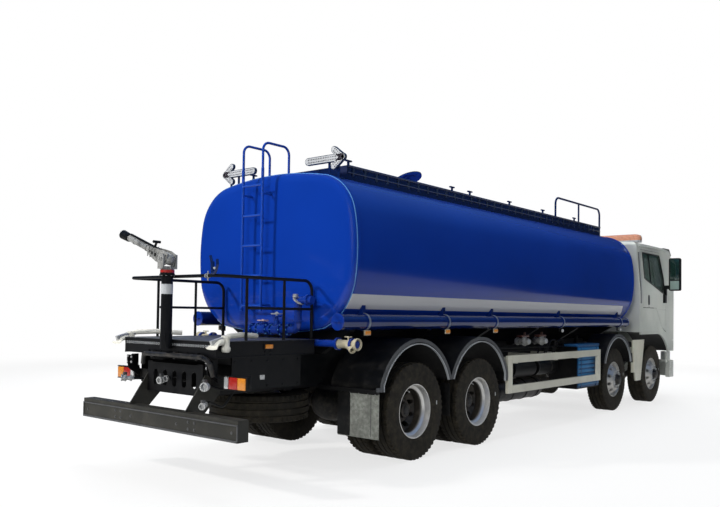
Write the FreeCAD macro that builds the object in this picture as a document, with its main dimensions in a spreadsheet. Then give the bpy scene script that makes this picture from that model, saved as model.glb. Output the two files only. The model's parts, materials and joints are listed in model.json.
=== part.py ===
import FreeCAD, Part
import os
import re
import Sketcher

# Eight-wheel water tanker lorry. Millimetres; front faces -Y, left is +X, +Z up.
# Origin: on the ground, half way along the lorry and half way across it.

SIZES = [
    # name, value, what it is
    ("front_overhang", 1320, "foremost point to first axle"),
    ("steer_spacing", 1890, "first axle to second axle"),
    ("middle_spacing", 4700, "second axle to third axle"),
    ("drive_spacing", 1350, "third axle to fourth axle"),
    ("rear_overhang", 2570, "fourth axle to rearmost point"),
    ("fit_gap", 0.3, "clearance of a piece in its seat"),
    ("run_gap", 0.05, "clearance of a pin in its bore"),
    ("move_gap", 8, "clearance round a door or lid"),
    # wheels and hubs
    ("tyre_radius", 535, "loaded radius"),
    ("tyre_half", 148, "half the tyre's section width"),
    ("bead_radius", 286, "rim under the tyre's bead"),
    ("flange_radius", 298, "rim flange"),
    ("flange_half", 127, "half the rim's width over its flanges"),
    ("well_radius", 255, "drop well of the rim"),
    ("rim_wall", 9, "thickness of the rim's barrel"),
    ("disc_wall", 13, "thickness of the wheel disc"),
    ("disc_offset", 175, "wheel centre to the disc's mounting face"),
    ("hand_hole_radius", 29, "round holes in the wheel disc"),
    ("hand_hole_pitch", 212, "radius they stand on"),
    ("drum_radius", 200, "brake drum"),
    ("spindle_radius", 42, "stub axle"),
    ("steer_half_track", 1000, "centre line to a steered wheel's centre"),
    ("drive_half_track", 915, "centre line to a twin wheel's centre"),
    ("kingpin_half", 868, "centre line to the kingpin"),
    ("kingpin_radius", 24, "kingpin"),
    # frame
    ("frame_half", 430, "centre line to the rail's outer face"),
    ("rail_height", 300, "height of a rail"),
    ("rail_flange", 80, "width of a rail's flange"),
    ("rail_wall", 10, "thickness of a rail"),
    ("rail_top", 1100, "top of the rails over the ground"),
    ("frame_rear_gap", 240, "rear end of the rails to rearmost point"),
    ("frame_front_gap", 330, "foremost point to front end of the rails"),
    ("spring_half", 690, "half a front spring's length"),
    ("pivot_radius", 18, "pin of the cab's tilt pivot"),
    # tank
    ("tank_length", 7900, "water tank over its ends"),
    ("tank_half", 1220, "half its width"),
    ("tank_base", 1380, "its lowest line"),
    ("tank_height", 1735, "lowest line to crown"),
    ("tank_rear", 1470, "rear end of the tank to rearmost point"),
    ("head_depth", 58, "depth of the tank's shallow heads"),
    ("band_width", 42, "weld band round each end"),
    ("band_rise", 9, "band over the shell"),
    ("tube_radius", 82, "hose tube along each side"),
    ("tube_half", 1092, "centre line to the tube"),
    ("tube_level", 1514, "height of the tubes"),
    ("coaming_half", 750, "centre line to the roof coaming"),
    ("coaming_top", 3205, "top edge of the coaming"),
    ("manhole_radius", 170, "manhole neck"),
    ("manhole_back", 2000, "rear end of the tank to the manhole"),
    ("lid_open", 157, "degrees from closed to the lid's resting place"),
    ("hoop_radius", 14, "tube of the ladder's handrails"),
    ("hoop_bend", 90, "radius of their bends"),
    ("roof_rail_rise", 330, "roof handrail over the coaming"),
    # cab
    ("cab_length", 2220, "cab front to back"),
    ("cab_half", 1245, "half its width"),
    ("cab_floor", 1335, "underside over the front wheels"),
    ("cab_top", 3010, "highest line of the roof"),
    ("cab_wall", 46, "thickness of the walls and doors"),
    ("cab_front_gap", 60, "foremost point to cab front"),
    ("glass_wall", 6, "thickness of the glass"),
    ("door_length", 1280, "door front to back"),
    ("door_back", 190, "cab's rear face to the door"),
    ("belt_front", 2060, "window sill at the door's front"),
    ("belt_rear", 2330, "window sill at the door's rear"),
    ("window_top", 2800, "upper edge of the windows"),
    ("arch_radius", 800, "wheel arch under the cab"),
    # mudguards and guards
    ("guard_top", 1335, "crown of the rear mudguards"),
    ("guard_wall", 8, "thickness of a mudguard"),
    ("guard_bar", 100, "height of a side guard's bars"),
    # rear platform
    ("deck_half", 710, "half the platform's width"),
    ("deck_length", 1310, "platform front to back"),
    ("deck_top", 1325, "platform over the ground"),
    ("deck_wall", 145, "height of the platform's edge"),
    ("rail_level", 1930, "top of the platform's rail"),
    ("post_radius", 16, "rail tube"),
    ("rail_bend", 110, "radius of its bends"),
    ("pillar_radius", 55, "pillar under the water cannon"),
    ("pillar_side", 45, "pillar to the right of the centre line"),
    ("bar_half", 1200, "half the rear bar's width"),
    ("outlet_radius", 38, "side outlet for a hose"),
    ("pipe_radius", 40, "pipe across the tank's rear"),
    ("pipe_bend", 70, "radius of its bends"),
    ("pipe_level", 1420, "height of the pipe across the rear"),
]

# Places that follow from the sizes above.
PLACES = {
    "length_all": "front_overhang + steer_spacing + middle_spacing + drive_spacing + rear_overhang",
    "front_end": "0 - length_all / 2",
    "rear_end": "length_all / 2",
    "axle_1": "front_end + front_overhang",
    "axle_2": "axle_1 + steer_spacing",
    "axle_3": "axle_2 + middle_spacing",
    "axle_4": "axle_3 + drive_spacing",
    "axle_level": "tyre_radius",
    "rail_base": "rail_top - rail_height",
    "frame_rear": "rear_end - frame_rear_gap",
    "frame_front": "front_end + frame_front_gap",
    "tank_end": "rear_end - tank_rear",
    "tank_front": "tank_end - tank_length",
    "tank_top": "tank_base + tank_height",
    "manhole_place": "tank_end - manhole_back",
    "cab_front": "front_end + cab_front_gap",
    "cab_rear": "cab_front + cab_length",
    "door_rear": "cab_rear - door_back",
    "door_front": "door_rear - door_length",
    "deck_front": "tank_end + 5",
    "deck_rear": "deck_front + deck_length",
    "tilt_place": "front_end + 410",
    "tilt_level": "960",
    "cannon_place": "deck_rear + pillar_radius + fit_gap",
    "cannon_level": "rail_level + 170",
    "lid_hinge": "0 - manhole_radius - 52",
    "lid_level": "tank_top + 105",
    "spare_place": "tank_end + 100",
    "spare_level": "rail_base - disc_offset - 15",
    "outlet_place": "tank_end - 60",
    "pipe_place": "tank_end + 150",
    "roof_rail_top": "coaming_top + roof_rail_rise - post_radius",
    "vessel_start": "axle_2 + 1730",
    "vessel_pitch": "(axle_3 - 760 - vessel_start) / 3",
    "disc_pitch_outer": "hand_hole_pitch - 18",
}

doc = FreeCAD.newDocument("WaterTanker")
sheet = doc.addObject("Spreadsheet::Sheet", "Sizes")
NODES = []
WORD = re.compile(r"[a-z_][a-z_0-9]*")
V = FreeCAD.Vector


def fill_sheet():
    for row, (name, amount, note) in enumerate(SIZES, start=1):
        sheet.set(f"A{row}", str(amount))
        sheet.set(f"B{row}", note)
        sheet.setAlias(f"A{row}", name)
    doc.recompute()


def full(text):
    """A size expression with its words swapped for the sheet's cells."""
    known = {name for name, _, _ in SIZES}

    def swap(match):
        word = match.group(0)
        if word in PLACES:
            return "(" + full(PLACES[word]) + ")"
        return "Sizes." + word if word in known else word

    return WORD.sub(swap, str(text))


def amount(text):
    result = sheet.evalExpression(full(text).replace("Sizes.", ""))
    return float(getattr(result, "Value", result))


def bind(thing, **sizes):
    for field, text in sizes.items():
        thing.setExpression(field, full(text))
    return thing


def place(thing, x=0, y=0, z=0, turn=None):
    """Put a thing at x, y, z; turn is (axis, degrees)."""
    if turn:
        thing.Placement = FreeCAD.Placement(V(), FreeCAD.Rotation(V(*turn[0]), turn[1]))
    for letter, text in (("x", x), ("y", y), ("z", z)):
        thing.setExpression("Placement.Base." + letter, full(text))
    return thing


def node(name, thing):
    """Name a finished sub-part; it gets a file of that name."""
    thing.Label = name
    NODES.append(thing)
    return thing


# ---------------------------------------------------------------- solids

def block(name, x, y, z):
    """A box between the pairs x, y and z."""
    thing = doc.addObject("Part::Box", name)
    bind(thing, Length=f"({x[1]}) - ({x[0]})", Width=f"({y[1]}) - ({y[0]})", Height=f"({z[1]}) - ({z[0]})")
    return place(thing, x[0], y[0], z[0])


AXIS_TURN = {"X": ((0, 1, 0), 90), "Y": ((1, 0, 0), -90), "Z": None}


def rod(name, radius, length, start, axis="Z"):
    """A cylinder from start along an axis."""
    thing = doc.addObject("Part::Cylinder", name)
    bind(thing, Radius=radius, Height=length)
    return place(thing, *start, turn=AXIS_TURN[axis])


def elbow(name, radius, bend, corner, first, then):
    """Quarter bend of round tube where a run along first turns at a corner and goes on along then."""
    thing = doc.addObject("Part::Torus", name)
    bind(thing, Radius1=bend, Radius2=radius)
    thing.Angle3 = 90
    back, ahead = V(*first) * -1, V(*then)
    thing.Placement = FreeCAD.Placement(V(), FreeCAD.Rotation(ahead * -1, back * -1, ahead.cross(back), "XYZ"))
    centre = [f"({text}) + ({b + a}) * ({bend})" for text, b, a in zip(corner, back, ahead)]
    return place(thing, *centre)


def fuse(name, parts):
    thing = doc.addObject("Part::MultiFuse", name)
    thing.Shapes = list(parts)
    thing.Refine = True
    return thing


def common(name, parts):
    thing = doc.addObject("Part::MultiCommon", name)
    thing.Shapes = list(parts)
    return thing


def cut(name, base, tool):
    thing = doc.addObject("Part::Cut", name)
    thing.Base = base
    thing.Tool = tool
    return thing


def mirror(name, source):
    """The same thing on the lorry's other side."""
    thing = doc.addObject("Part::Mirroring", name)
    thing.Source = source
    thing.Normal = V(1, 0, 0)
    return thing


def group(name, parts):
    """Solids that stay apart but share a node."""
    thing = doc.addObject("Part::Compound", name)
    thing.Links = list(parts)
    return thing


def pair(name, source):
    return group(name, [source, mirror(name + "_mirrored", source)])


def origin_part(body, role):
    return next(item for item in body.Origin.OriginFeatures if item.Role == role)


def sketch(body, role, offset=0):
    thing = body.newObject("Sketcher::SketchObject", body.Name + "_sketch")
    thing.AttachmentSupport = [(origin_part(body, role), "")]
    thing.MapMode = "FlatFace"
    thing.setExpression("AttachmentOffset.Base.z", full(offset))
    return thing


def pin_point(drawing, geometry, vertex, u, v):
    for kind, text in (("DistanceX", u), ("DistanceY", v)):
        index = drawing.addConstraint(Sketcher.Constraint(kind, -1, 1, geometry, vertex, amount(text)))
        drawing.setExpression(f"Constraints[{index}]", full(text))


def draw(drawing, outline):
    """Close an outline of corners (u, v); (u, v, mid_u, mid_v) starts an arc through mid."""
    first = drawing.GeometryCount
    count = len(outline)
    for index, corner in enumerate(outline):
        following = outline[(index + 1) % count]
        start = V(amount(corner[0]), amount(corner[1]), 0)
        end = V(amount(following[0]), amount(following[1]), 0)
        if len(corner) == 4:
            middle = V(amount(corner[2]), amount(corner[3]), 0)
            drawing.addGeometry(Part.Arc(start, middle, end))
        else:
            drawing.addGeometry(Part.LineSegment(start, end))
    ends = [arc_ends(drawing, first + index) for index in range(count)]
    for index in range(count):
        after = (index + 1) % count
        link = Sketcher.Constraint("Coincident", first + index, ends[index][1], first + after, ends[after][0])
        drawing.addConstraint(link)
    for index, corner in enumerate(outline):
        pin_point(drawing, first + index, ends[index][0], corner[0], corner[1])
    for index, corner in enumerate(outline):
        if len(corner) == 4:
            marker = drawing.addGeometry(Part.Point(V(amount(corner[2]), amount(corner[3]), 0)), True)
            pin_point(drawing, marker, 1, corner[2], corner[3])
            drawing.addConstraint(Sketcher.Constraint("PointOnObject", marker, 1, first + index))
    return drawing


def arc_ends(drawing, index):
    """Vertex numbers of a curve's first and last point, in drawing order."""
    curve = drawing.Geometry[index]
    if isinstance(curve, Part.ArcOfCircle) and curve.Axis.z < 0:
        return (2, 1)
    return (1, 2)


def draw_circle(drawing, u, v, radius):
    index = drawing.addGeometry(Part.Circle(V(amount(u), amount(v), 0), V(0, 0, 1), amount(radius)))
    pin_point(drawing, index, 3, u, v)
    limit = drawing.addConstraint(Sketcher.Constraint("Radius", index, amount(radius)))
    drawing.setExpression(f"Constraints[{limit}]", full(radius))
    return drawing


def new_body(name):
    return doc.addObject("PartDesign::Body", name)


def pad(body, drawing, length, both=False, back=False):
    thing = body.newObject("PartDesign::Pad", body.Name + "_pad")
    thing.Profile = drawing
    thing.Midplane = both
    thing.Reversed = back
    return bind(thing, Length=length)


def pocket(body, drawing, length, both=False, back=False):
    thing = body.newObject("PartDesign::Pocket", body.Name + "_pocket")
    thing.Profile = drawing
    thing.Midplane = both
    thing.Reversed = back
    return bind(thing, Length=length)


def revolve(body, drawing, role):
    thing = body.newObject("PartDesign::Revolution", body.Name + "_turned")
    thing.Profile = drawing
    thing.ReferenceAxis = (origin_part(body, role), [""])
    thing.Angle = 360
    return thing


def ring_of(body, feature, role, count):
    """Repeat a feature round an axis."""
    thing = body.newObject("PartDesign::PolarPattern", body.Name + "_ring")
    thing.Originals = [feature]
    thing.Axis = (origin_part(body, role), [""])
    thing.Angle = 360
    thing.Occurrences = count
    body.Tip = thing
    return thing


def round_edges(body, radius, wanted):
    """Fillet the edges of a body's last feature that wanted() picks."""
    doc.recompute()
    base = body.Tip
    names = [f"Edge{index}" for index, edge in enumerate(base.Shape.Edges, start=1) if wanted(edge)]
    thing = body.newObject("PartDesign::Fillet", body.Name + "_round")
    thing.Base = (base, names)
    return bind(thing, Radius=radius)


def plate(name, role, outline, start, length):
    """An outline raised from start by length along its plane's normal."""
    body = new_body(name)
    pad(body, draw(sketch(body, role, start), outline), length)
    return body


def side_plate(name, outline, x):
    """Outline in (y, z), raised between the pair x."""
    return plate(name, "YZ_Plane", outline, x[0], f"({x[1]}) - ({x[0]})")


def cross_plate(name, outline, y):
    """Outline in (x, z), raised between the pair y; this plane's normal is -Y."""
    return plate(name, "XZ_Plane", outline, f"0 - ({y[1]})", f"({y[1]}) - ({y[0]})")


def flat_plate(name, outline, z):
    """Outline in (x, y), raised between the pair z."""
    return plate(name, "XY_Plane", outline, z[0], f"({z[1]}) - ({z[0]})")


def rectangle(u, v):
    return [(u[0], v[0]), (u[1], v[0]), (u[1], v[1]), (u[0], v[1])]


# ---------------------------------------------------------------- frame

def chassis_frame():
    outer, wall, flange = "frame_half", "rail_wall", "rail_flange"
    inner = "frame_half - rail_flange"
    web = "frame_half - rail_wall"
    channel = [
        (inner, "rail_base"), (outer, "rail_base"), (outer, "rail_top"), (inner, "rail_top"),
        (inner, f"rail_top - {wall}"), (web, f"rail_top - {wall}"),
        (web, f"rail_base + {wall}"), (inner, f"rail_base + {wall}"),
    ]
    rail = cross_plate("rail", channel, ("frame_front", "frame_rear"))
    pieces = [rail, mirror("rail_right", rail)]
    # cross members: name, place, height
    members = [
        ("front_member", "frame_front + 60", "rail_height - 60"),
        ("spring_member", "axle_1 + 1690", "120"),
        ("second_member", "axle_2 + 850", "120"),
        ("middle_member", "(axle_2 + axle_3) / 2", "120"),
        ("drive_member", "axle_3 - 800", "120"),
        ("bogie_member", "(axle_3 + axle_4) / 2", "120"),
        ("tail_member", "axle_4 + 1150", "120"),
    ]
    for name, where, height in members:
        span = (f"0 - ({web})", web)
        depth = (f"{where} - 50", f"{where} + 50")
        pieces.append(block(name, span, depth, (f"rail_top - {wall} - ({height})", f"rail_top - {wall}")))
    pieces.append(end_plate())
    hangers = (("a", "axle_1", "-"), ("b", "axle_1", "+"), ("c", "axle_2", "-"), ("d", "axle_2", "+"))
    for name, axle, sign in hangers:
        where = f"({axle} {sign} (spring_half + 45))"
        reach = "45 - fit_gap"
        bracket = block("hanger_" + name, ("frame_half - 76", "frame_half - 4"),
                        (f"{where} - ({reach})", f"{where} + {reach}"), ("axle_level + 150", "rail_base"))
        pieces += [bracket, mirror("hanger_right_" + name, bracket)]
    pieces.append(block("spare_carrier", ("0 - frame_half", "frame_half"), ("spare_place - 60", "spare_place + 60"),
                        ("spare_level + disc_offset + fit_gap", "rail_base")))
    pin = rod("tilt_pin", "pivot_radius", "70", ("frame_half - 10", "tilt_place", "tilt_level"), "X")
    pieces += [pin, mirror("tilt_pin_right", pin)]
    return node("chassis_frame", fuse("frame", pieces))


def end_plate():
    """Closing plate of the frame, with five oval holes."""
    body = new_body("end_plate")
    depth = ("frame_rear - 12", "frame_rear")
    edge = "frame_half - rail_wall"
    outline = rectangle((f"0 - ({edge})", edge), ("rail_base", "rail_top - rail_wall"))
    pad(body, draw(sketch(body, "XZ_Plane", f"0 - ({depth[1]})"), outline), "12")
    holes = sketch(body, "XZ_Plane", f"0 - ({depth[1]})")
    for index in range(5):
        middle = f"{index - 2} * 150"
        low, high = "rail_top - 200", "rail_top - 110"
        left, right = f"{middle} - 34", f"{middle} + 34"
        draw(holes, [
            (left, low, middle, f"{low} - 34"), (right, low),
            (right, high, middle, f"{high} + 34"), (left, high),
        ])
    pocket(body, holes, "12", back=True)
    return body


# ---------------------------------------------------------------- running gear

def tyre(name, x, y, level, outward):
    """One tyre; outward is 1 or -1, the side that its wheel faces."""
    body = new_body(name)
    bead = "bead_radius + fit_gap"
    half = [
        ("flange_half - 16", bead), ("flange_half - 13", "flange_radius + 2"),
        ("flange_half + 4", "flange_radius + 5", "tyre_half", "tyre_radius - 130"),
        ("tyre_half - 8", "tyre_radius - 40"), ("tyre_half - 20", "tyre_radius - 8"),
    ]
    right = [tuple(f"{text}" for text in corner) for corner in half]
    outline = right[:-1] + [right[-1] + ("0", "tyre_radius")]
    back = [(f"0 - ({u})", v) for u, v in (corner[:2] for corner in reversed(half))]
    back[1] = back[1] + ("0 - tyre_half", "tyre_radius - 130")
    draw_on = sketch(body, "XZ_Plane")
    revolve(body, draw(draw_on, outline + back), "X_Axis")
    return place(body, x, y, level, ((0, 0, 1), 0 if outward > 0 else 180))


def barrel_outline(shift, facing):
    """Section of a rim's barrel about the plane at shift; facing is the disc's side."""
    outer = [
        ("flange_half", "flange_radius"), ("flange_half - 12", "flange_radius"),
        ("flange_half - 15", "bead_radius"), ("75", "bead_radius - 3"), ("52", "well_radius"),
        ("-40", "well_radius"), ("-62", "bead_radius - 3"),
        ("15 - flange_half", "bead_radius"), ("12 - flange_half", "flange_radius"),
        ("0 - flange_half", "flange_radius"),
    ]
    inner = [
        ("0 - flange_half", "flange_radius - rim_wall"), ("-66", "bead_radius - 3 - rim_wall"),
        ("-44", "well_radius - rim_wall"), ("56", "well_radius - rim_wall"),
        ("79", "bead_radius - 3 - rim_wall"), ("flange_half", "flange_radius - rim_wall"),
    ]
    return [(f"{shift} + {facing} * ({u})", v) for u, v in outer + inner]


def disc_outline(shift, facing):
    """Section of the dished disc, from the barrel to the mounting face."""
    face = "disc_offset"
    return [(f"{shift} + {facing} * ({u})", v) for u, v in (
        ("58", "well_radius"), ("80", "bead_radius - 8"), (f"{face} - 22", "disc_pitch_outer"),
        (f"{face}", "disc_pitch_outer - 32"), (f"{face}", "95"),
        (f"{face} - disc_wall", "95"), (f"{face} - disc_wall", "disc_pitch_outer - 38"),
        (f"{face} - 36", "disc_pitch_outer - 12"),
    )]


def hand_holes(body, shift, facing):
    """Ten round holes through the slope of a disc."""
    drawing = sketch(body, "YZ_Plane", f"{shift} + {facing} * (58)")
    draw_circle(drawing, "0", "hand_hole_pitch + 4", "hand_hole_radius")
    hole = pocket(body, drawing, "disc_offset - 58 + 5", back=facing > 0)
    doc.recompute()
    ring_of(body, hole, "X_Axis", 10)


def steer_rim(name, x, y, outward):
    """Single rim with its drum and hub; its disc bulges outwards."""
    body = new_body(name)
    revolve(body, draw(sketch(body, "XZ_Plane"), barrel_outline("0", "1")), "X_Axis")
    revolve(body, draw(sketch(body, "XZ_Plane"), disc_outline("0", "1")), "X_Axis")
    hand_holes(body, "0", 1)
    bore = "spindle_radius + run_gap"
    hub = [
        ("-30", "drum_radius - 16"), ("-30", "drum_radius"), ("74", "drum_radius"), ("74", "105"),
        ("disc_offset + 10", "105"), ("disc_offset + 18", "80"), ("disc_offset + 58", "70"),
        ("disc_offset + 66", "45"), ("disc_offset + 66", "0"), ("124", "0"), ("124", bore),
        ("58", bore), ("58", "drum_radius - 16"),
    ]
    revolve(body, draw(sketch(body, "XZ_Plane"), hub), "X_Axis")
    return place(body, x, y, "axle_level", ((0, 0, 1), 0 if outward > 0 else 180))


def twin_rim(name, x, y, outward):
    """Two rims back to back on one hub and drum."""
    body = new_body(name)
    for shift, facing in (("disc_offset", "-1"), ("0 - disc_offset", "1")):
        revolve(body, draw(sketch(body, "XZ_Plane"), barrel_outline(shift, facing)), "X_Axis")
        revolve(body, draw(sketch(body, "XZ_Plane"), disc_outline(shift, facing)), "X_Axis")
    hand_holes(body, "disc_offset", -1)
    bore = "spindle_radius + 8 + run_gap"
    hub = [
        ("-231", "drum_radius - 16"), ("-231", "drum_radius"), ("-78", "drum_radius"), ("-70", "105"),
        ("96", "105"), ("104", "132"), ("122", "132"), ("128", "88"), ("172", "80"), ("180", "55"),
        ("180", "0"), ("90", "0"), ("90", bore), ("-92", bore), ("-92", "drum_radius - 16"),
    ]
    revolve(body, draw(sketch(body, "XZ_Plane"), hub), "X_Axis")
    return place(body, x, y, "axle_level", ((0, 0, 1), 0 if outward > 0 else 180))


SIDES = (("left", 1), ("right", -1))


def wheels():
    for axle, where in (("1", "axle_1"), ("2", "axle_2")):
        for side, sign in SIDES:
            x = f"{sign} * steer_half_track"
            node(f"tyre_{axle}_{side}", tyre(f"tyre_{axle}_{side}", x, where, "axle_level", sign))
            node(f"rim_{axle}_{side}", steer_rim(f"rim_{axle}_{side}", x, where, sign))
            node(f"knuckle_{axle}_{side}", knuckle(f"knuckle_{axle}_{side}", where, sign))
    for axle, where in (("3", "axle_3"), ("4", "axle_4")):
        for side, sign in SIDES:
            twins = [
                tyre(f"tyre_{axle}_{side}_{shift}", f"{sign} * (drive_half_track {shift} disc_offset)", where,
                     "axle_level", sign)
                for shift in "+-"
            ]
            node(f"tyres_{axle}_{side}", group(f"twins_{axle}_{side}", twins))
            rim = twin_rim(f"rims_{axle}_{side}", f"{sign} * drive_half_track", where, sign)
            node(f"rims_{axle}_{side}", rim)


def knuckle(name, where, sign):
    """Forked steering knuckle with its kingpin, back plate and stub axle."""
    def along(distance):
        return f"{sign} * ({distance})"

    def span(low, high):
        ends = (along(low), along(high))
        return ends if sign > 0 else (ends[1], ends[0])

    web = span("kingpin_half + 60", "steer_half_track - 44")
    arms = span("kingpin_half - 48", "kingpin_half + 62")
    pieces = [
        block(name + "_web", web, (f"{where} - 62", f"{where} + 62"), ("axle_level - 112", "axle_level + 112")),
        block(name + "_upper", arms, (f"{where} - 48", f"{where} + 48"), ("axle_level + 75", "axle_level + 112")),
        block(name + "_lower", arms, (f"{where} - 48", f"{where} + 48"), ("axle_level - 112", "axle_level - 75")),
        rod(name + "_kingpin", "kingpin_radius", "250", (along("kingpin_half"), where, "axle_level - 125")),
    ]
    plate_start = along("steer_half_track - 46") if sign > 0 else along("steer_half_track - 38")
    pieces.append(rod(name + "_back_plate", "drum_radius - 8", "8", (plate_start, where, "axle_level"), "X"))
    stub_start = along("steer_half_track - 46") if sign > 0 else along("steer_half_track + 118")
    pieces.append(rod(name + "_stub", "spindle_radius", "164", (stub_start, where, "axle_level"), "X"))
    return fuse(name, pieces)


def steer_axles():
    """Two dropped beams, each with an eye for the kingpin at both ends."""
    beams = []
    for axle, where in (("1", "axle_1"), ("2", "axle_2")):
        high, low, top, base = "axle_level + 42", "axle_level - 42", "axle_level - 40", "axle_level - 150"
        outline = [
            ("0 - kingpin_half", low), ("-700", low), ("-590", base), ("590", base), ("700", low),
            ("kingpin_half", low), ("kingpin_half", high), ("690", high), ("575", top), ("-575", top),
            ("-690", high), ("0 - kingpin_half", high),
        ]
        pieces = [cross_plate("beam_" + axle, outline, (f"{where} - 50", f"{where} + 50"))]
        bores = []
        for side, sign in SIDES:
            x = f"{sign} * kingpin_half"
            pieces.append(rod(f"eye_{axle}_{side}", "50", "136", (x, where, "axle_level - 68")))
            bores.append(rod(f"bore_{axle}_{side}", "kingpin_radius + run_gap", "160", (x, where, "axle_level - 80")))
        beams.append(cut("beam_bored_" + axle, fuse("beam_whole_" + axle, pieces), fuse("bores_" + axle, bores)))
    return node("steer_axles", group("steer_axle_pair", beams))


def drive_axles():
    """Two banjo housings with their spindles."""
    housings = []
    for axle, where in (("3", "axle_3"), ("4", "axle_4")):
        body = new_body("housing_" + axle)
        end = "drive_half_track + 80"
        half = [
            (end, "0"), (end, "spindle_radius + 8"), ("690", "spindle_radius + 8"), ("690", "75"),
            ("676", "150"), ("664", "150"), ("650", "75"), ("300", "75"), ("170", "185", "60", "215"),
        ]
        left = [(f"0 - ({u})", v) for u, v in (corner[:2] for corner in reversed(half[1:]))]
        left = left + [(f"0 - ({end})", "0")]
        outline = half[:-1] + [("170", "185", "0", "222")] + left
        revolve(body, draw(sketch(body, "XZ_Plane"), outline), "X_Axis")
        place(body, 0, where, "axle_level")
        nose = rod("nose_" + axle, "90", "330", (0, f"{where} - 330", "axle_level + 20"), "Y")
        housings.append(fuse("drive_housing_" + axle, [body, nose]))
    return node("drive_axles", group("drive_axle_pair", housings))


def leaf_springs():
    """Four front packs under the rails and two inverted packs over the drive axles."""
    packs = []
    for axle, where in (("1", "axle_1"), ("2", "axle_2")):
        low, high = "axle_level - 40 + fit_gap", "axle_level + 190"
        outline = [
            (f"{where} - spring_half", high, where, low), (f"{where} + spring_half", high),
            (f"{where} + spring_half", f"{high} + 34", where, "axle_level + 60"), (f"{where} - spring_half", f"{high} + 34"),
        ]
        packs.append(side_plate("front_pack_" + axle, outline, ("frame_half - 78", "frame_half - 2")))
    middle = "(axle_3 + axle_4) / 2"
    reach = "drive_spacing / 2 + 70"
    seat = "axle_level + 75 + fit_gap"
    flat = f"({reach}) - 150"
    outline = [
        (f"{middle} - ({reach})", seat), (f"{middle} - ({flat})", seat, middle, f"{seat} + 105"),
        (f"{middle} + {flat}", seat), (f"{middle} + {reach}", seat),
        (f"{middle} + {reach}", f"{seat} + 40"), (f"{middle} + {flat}", f"{seat} + 46", middle, f"{seat} + 205"),
        (f"{middle} - ({flat})", f"{seat} + 46"), (f"{middle} - ({reach})", f"{seat} + 40"),
    ]
    rear = side_plate("rear_pack", outline, ("frame_half + 30", "frame_half + 118"))
    saddle = rod("saddle", "95", "84", ("frame_half + 32", middle, "axle_level + 140"), "X")
    packs.append(fuse("rear_pack_saddle", [rear, saddle]))
    shaft = rod("trunnion", "48", "2 * frame_half + 64", ("0 - frame_half - 32", middle, "axle_level + 140"), "X")
    ears = block("ear", ("frame_half - 60", "frame_half + 26"), (f"{middle} - 110", f"{middle} + 110"),
                 ("axle_level + 20", "rail_base"))
    rears = fuse("rear_springs", [packs[2], mirror("rear_pack_right", packs[2]), shaft, ears,
                                  mirror("ear_right", ears)])
    fronts = []
    for pack in packs[:2]:
        fronts += [pack, mirror(pack.Name + "_right", pack)]
    return node("leaf_springs", group("springs", fronts + [rears]))


def driveline():
    """Engine block with its gearbox, and the propeller shafts."""
    level = "axle_level + 20"
    engine = block("engine", ("-340", "340"), ("axle_1 - 420", "axle_1 + 760"), ("700", "1290"))
    gearbox = rod("gearbox", "210", "820", (0, "axle_1 + 760", "900"), "Y")
    start = V(0, amount("axle_1 + 1580"), 850)
    run = V(0, amount("axle_3 - 334"), amount(level)) - start
    shaft = doc.addObject("Part::Feature", "shaft_long")
    shaft.Shape = Part.makeCylinder(55, run.Length, start, run)
    pieces = fuse("engine_and_gearbox", [engine, gearbox, shaft])
    link = rod("shaft_short", "50", "drive_spacing - 330 - 222 - 2 * fit_gap", (0, "axle_3 + 222 + fit_gap", level), "Y")
    return node("driveline", group("driveline_parts", [pieces, link]))


def spare_wheel():
    """Spare tyre on its rim, lying flat under the rear of the frame."""
    ring = tyre("spare_tyre_ring", 0, 0, 0, 1)
    place_flat(ring)
    body = new_body("spare_rim_ring")
    revolve(body, draw(sketch(body, "XZ_Plane"), barrel_outline("0", "1")), "X_Axis")
    revolve(body, draw(sketch(body, "XZ_Plane"), disc_outline("0", "1")), "X_Axis")
    place_flat(body)
    return node("spare_wheel", group("spare_pair", [ring, body]))


def place_flat(thing):
    """Lay a wheel part flat with its disc up, in the spare's place."""
    place(thing, 0, "spare_place", "spare_level", ((0, 1, 0), -90))


# ---------------------------------------------------------------- tank

def tank_outline(grow):
    """Section of the tank: crown, shoulders, bulged sides, tucked-in bottom."""
    def corner(x, z, mid_x, mid_z, sign=1):
        return (f"{sign} * ({x})", z, f"{sign} * ({mid_x})", mid_z)

    half, base, top, g = "tank_half", "tank_base", "tank_top", grow
    shoulder, flank_top, flank_low, hip = (
        (f"{half} - 470 + {g} / 2", f"{top} - 68 + {g}"), (f"{half} - 36 + {g}", f"{base} + 1245 + {g} / 2"),
        (f"{half} - 33 + {g}", f"{base} + 515 - {g} / 2"), (f"{half} - 450 + {g} / 2", f"{base} + 62 - {g}"),
    )
    return [
        (f"0 - ({hip[0]})", hip[1], "0", f"{base} - {g}"),
        corner(*hip, f"{half} - 158 + {g} * 3 / 4", f"{base} + 268 - {g} * 3 / 4"),
        corner(*flank_low, f"{half} + {g}", f"{base} + 900"),
        corner(*flank_top, f"{half} - 180 + {g} * 3 / 4", f"{top} - 217 + {g} * 3 / 4"),
        (shoulder[0], shoulder[1], "0", f"{top} + {g}"),
        corner(*shoulder, f"{half} - 180 + {g} * 3 / 4", f"{top} - 217 + {g} * 3 / 4", -1),
        corner(*flank_top, f"{half} + {g}", f"{base} + 900", -1),
        corner(*flank_low, f"{half} - 158 + {g} * 3 / 4", f"{base} + 268 - {g} * 3 / 4", -1),
    ]


HEAD_STEPS = (
    # how far a section of the tank's head shrinks, and how far out it lies
    ("0", "0"), ("12", "22"), ("40", "42"), ("120", "head_depth"),
)


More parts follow.
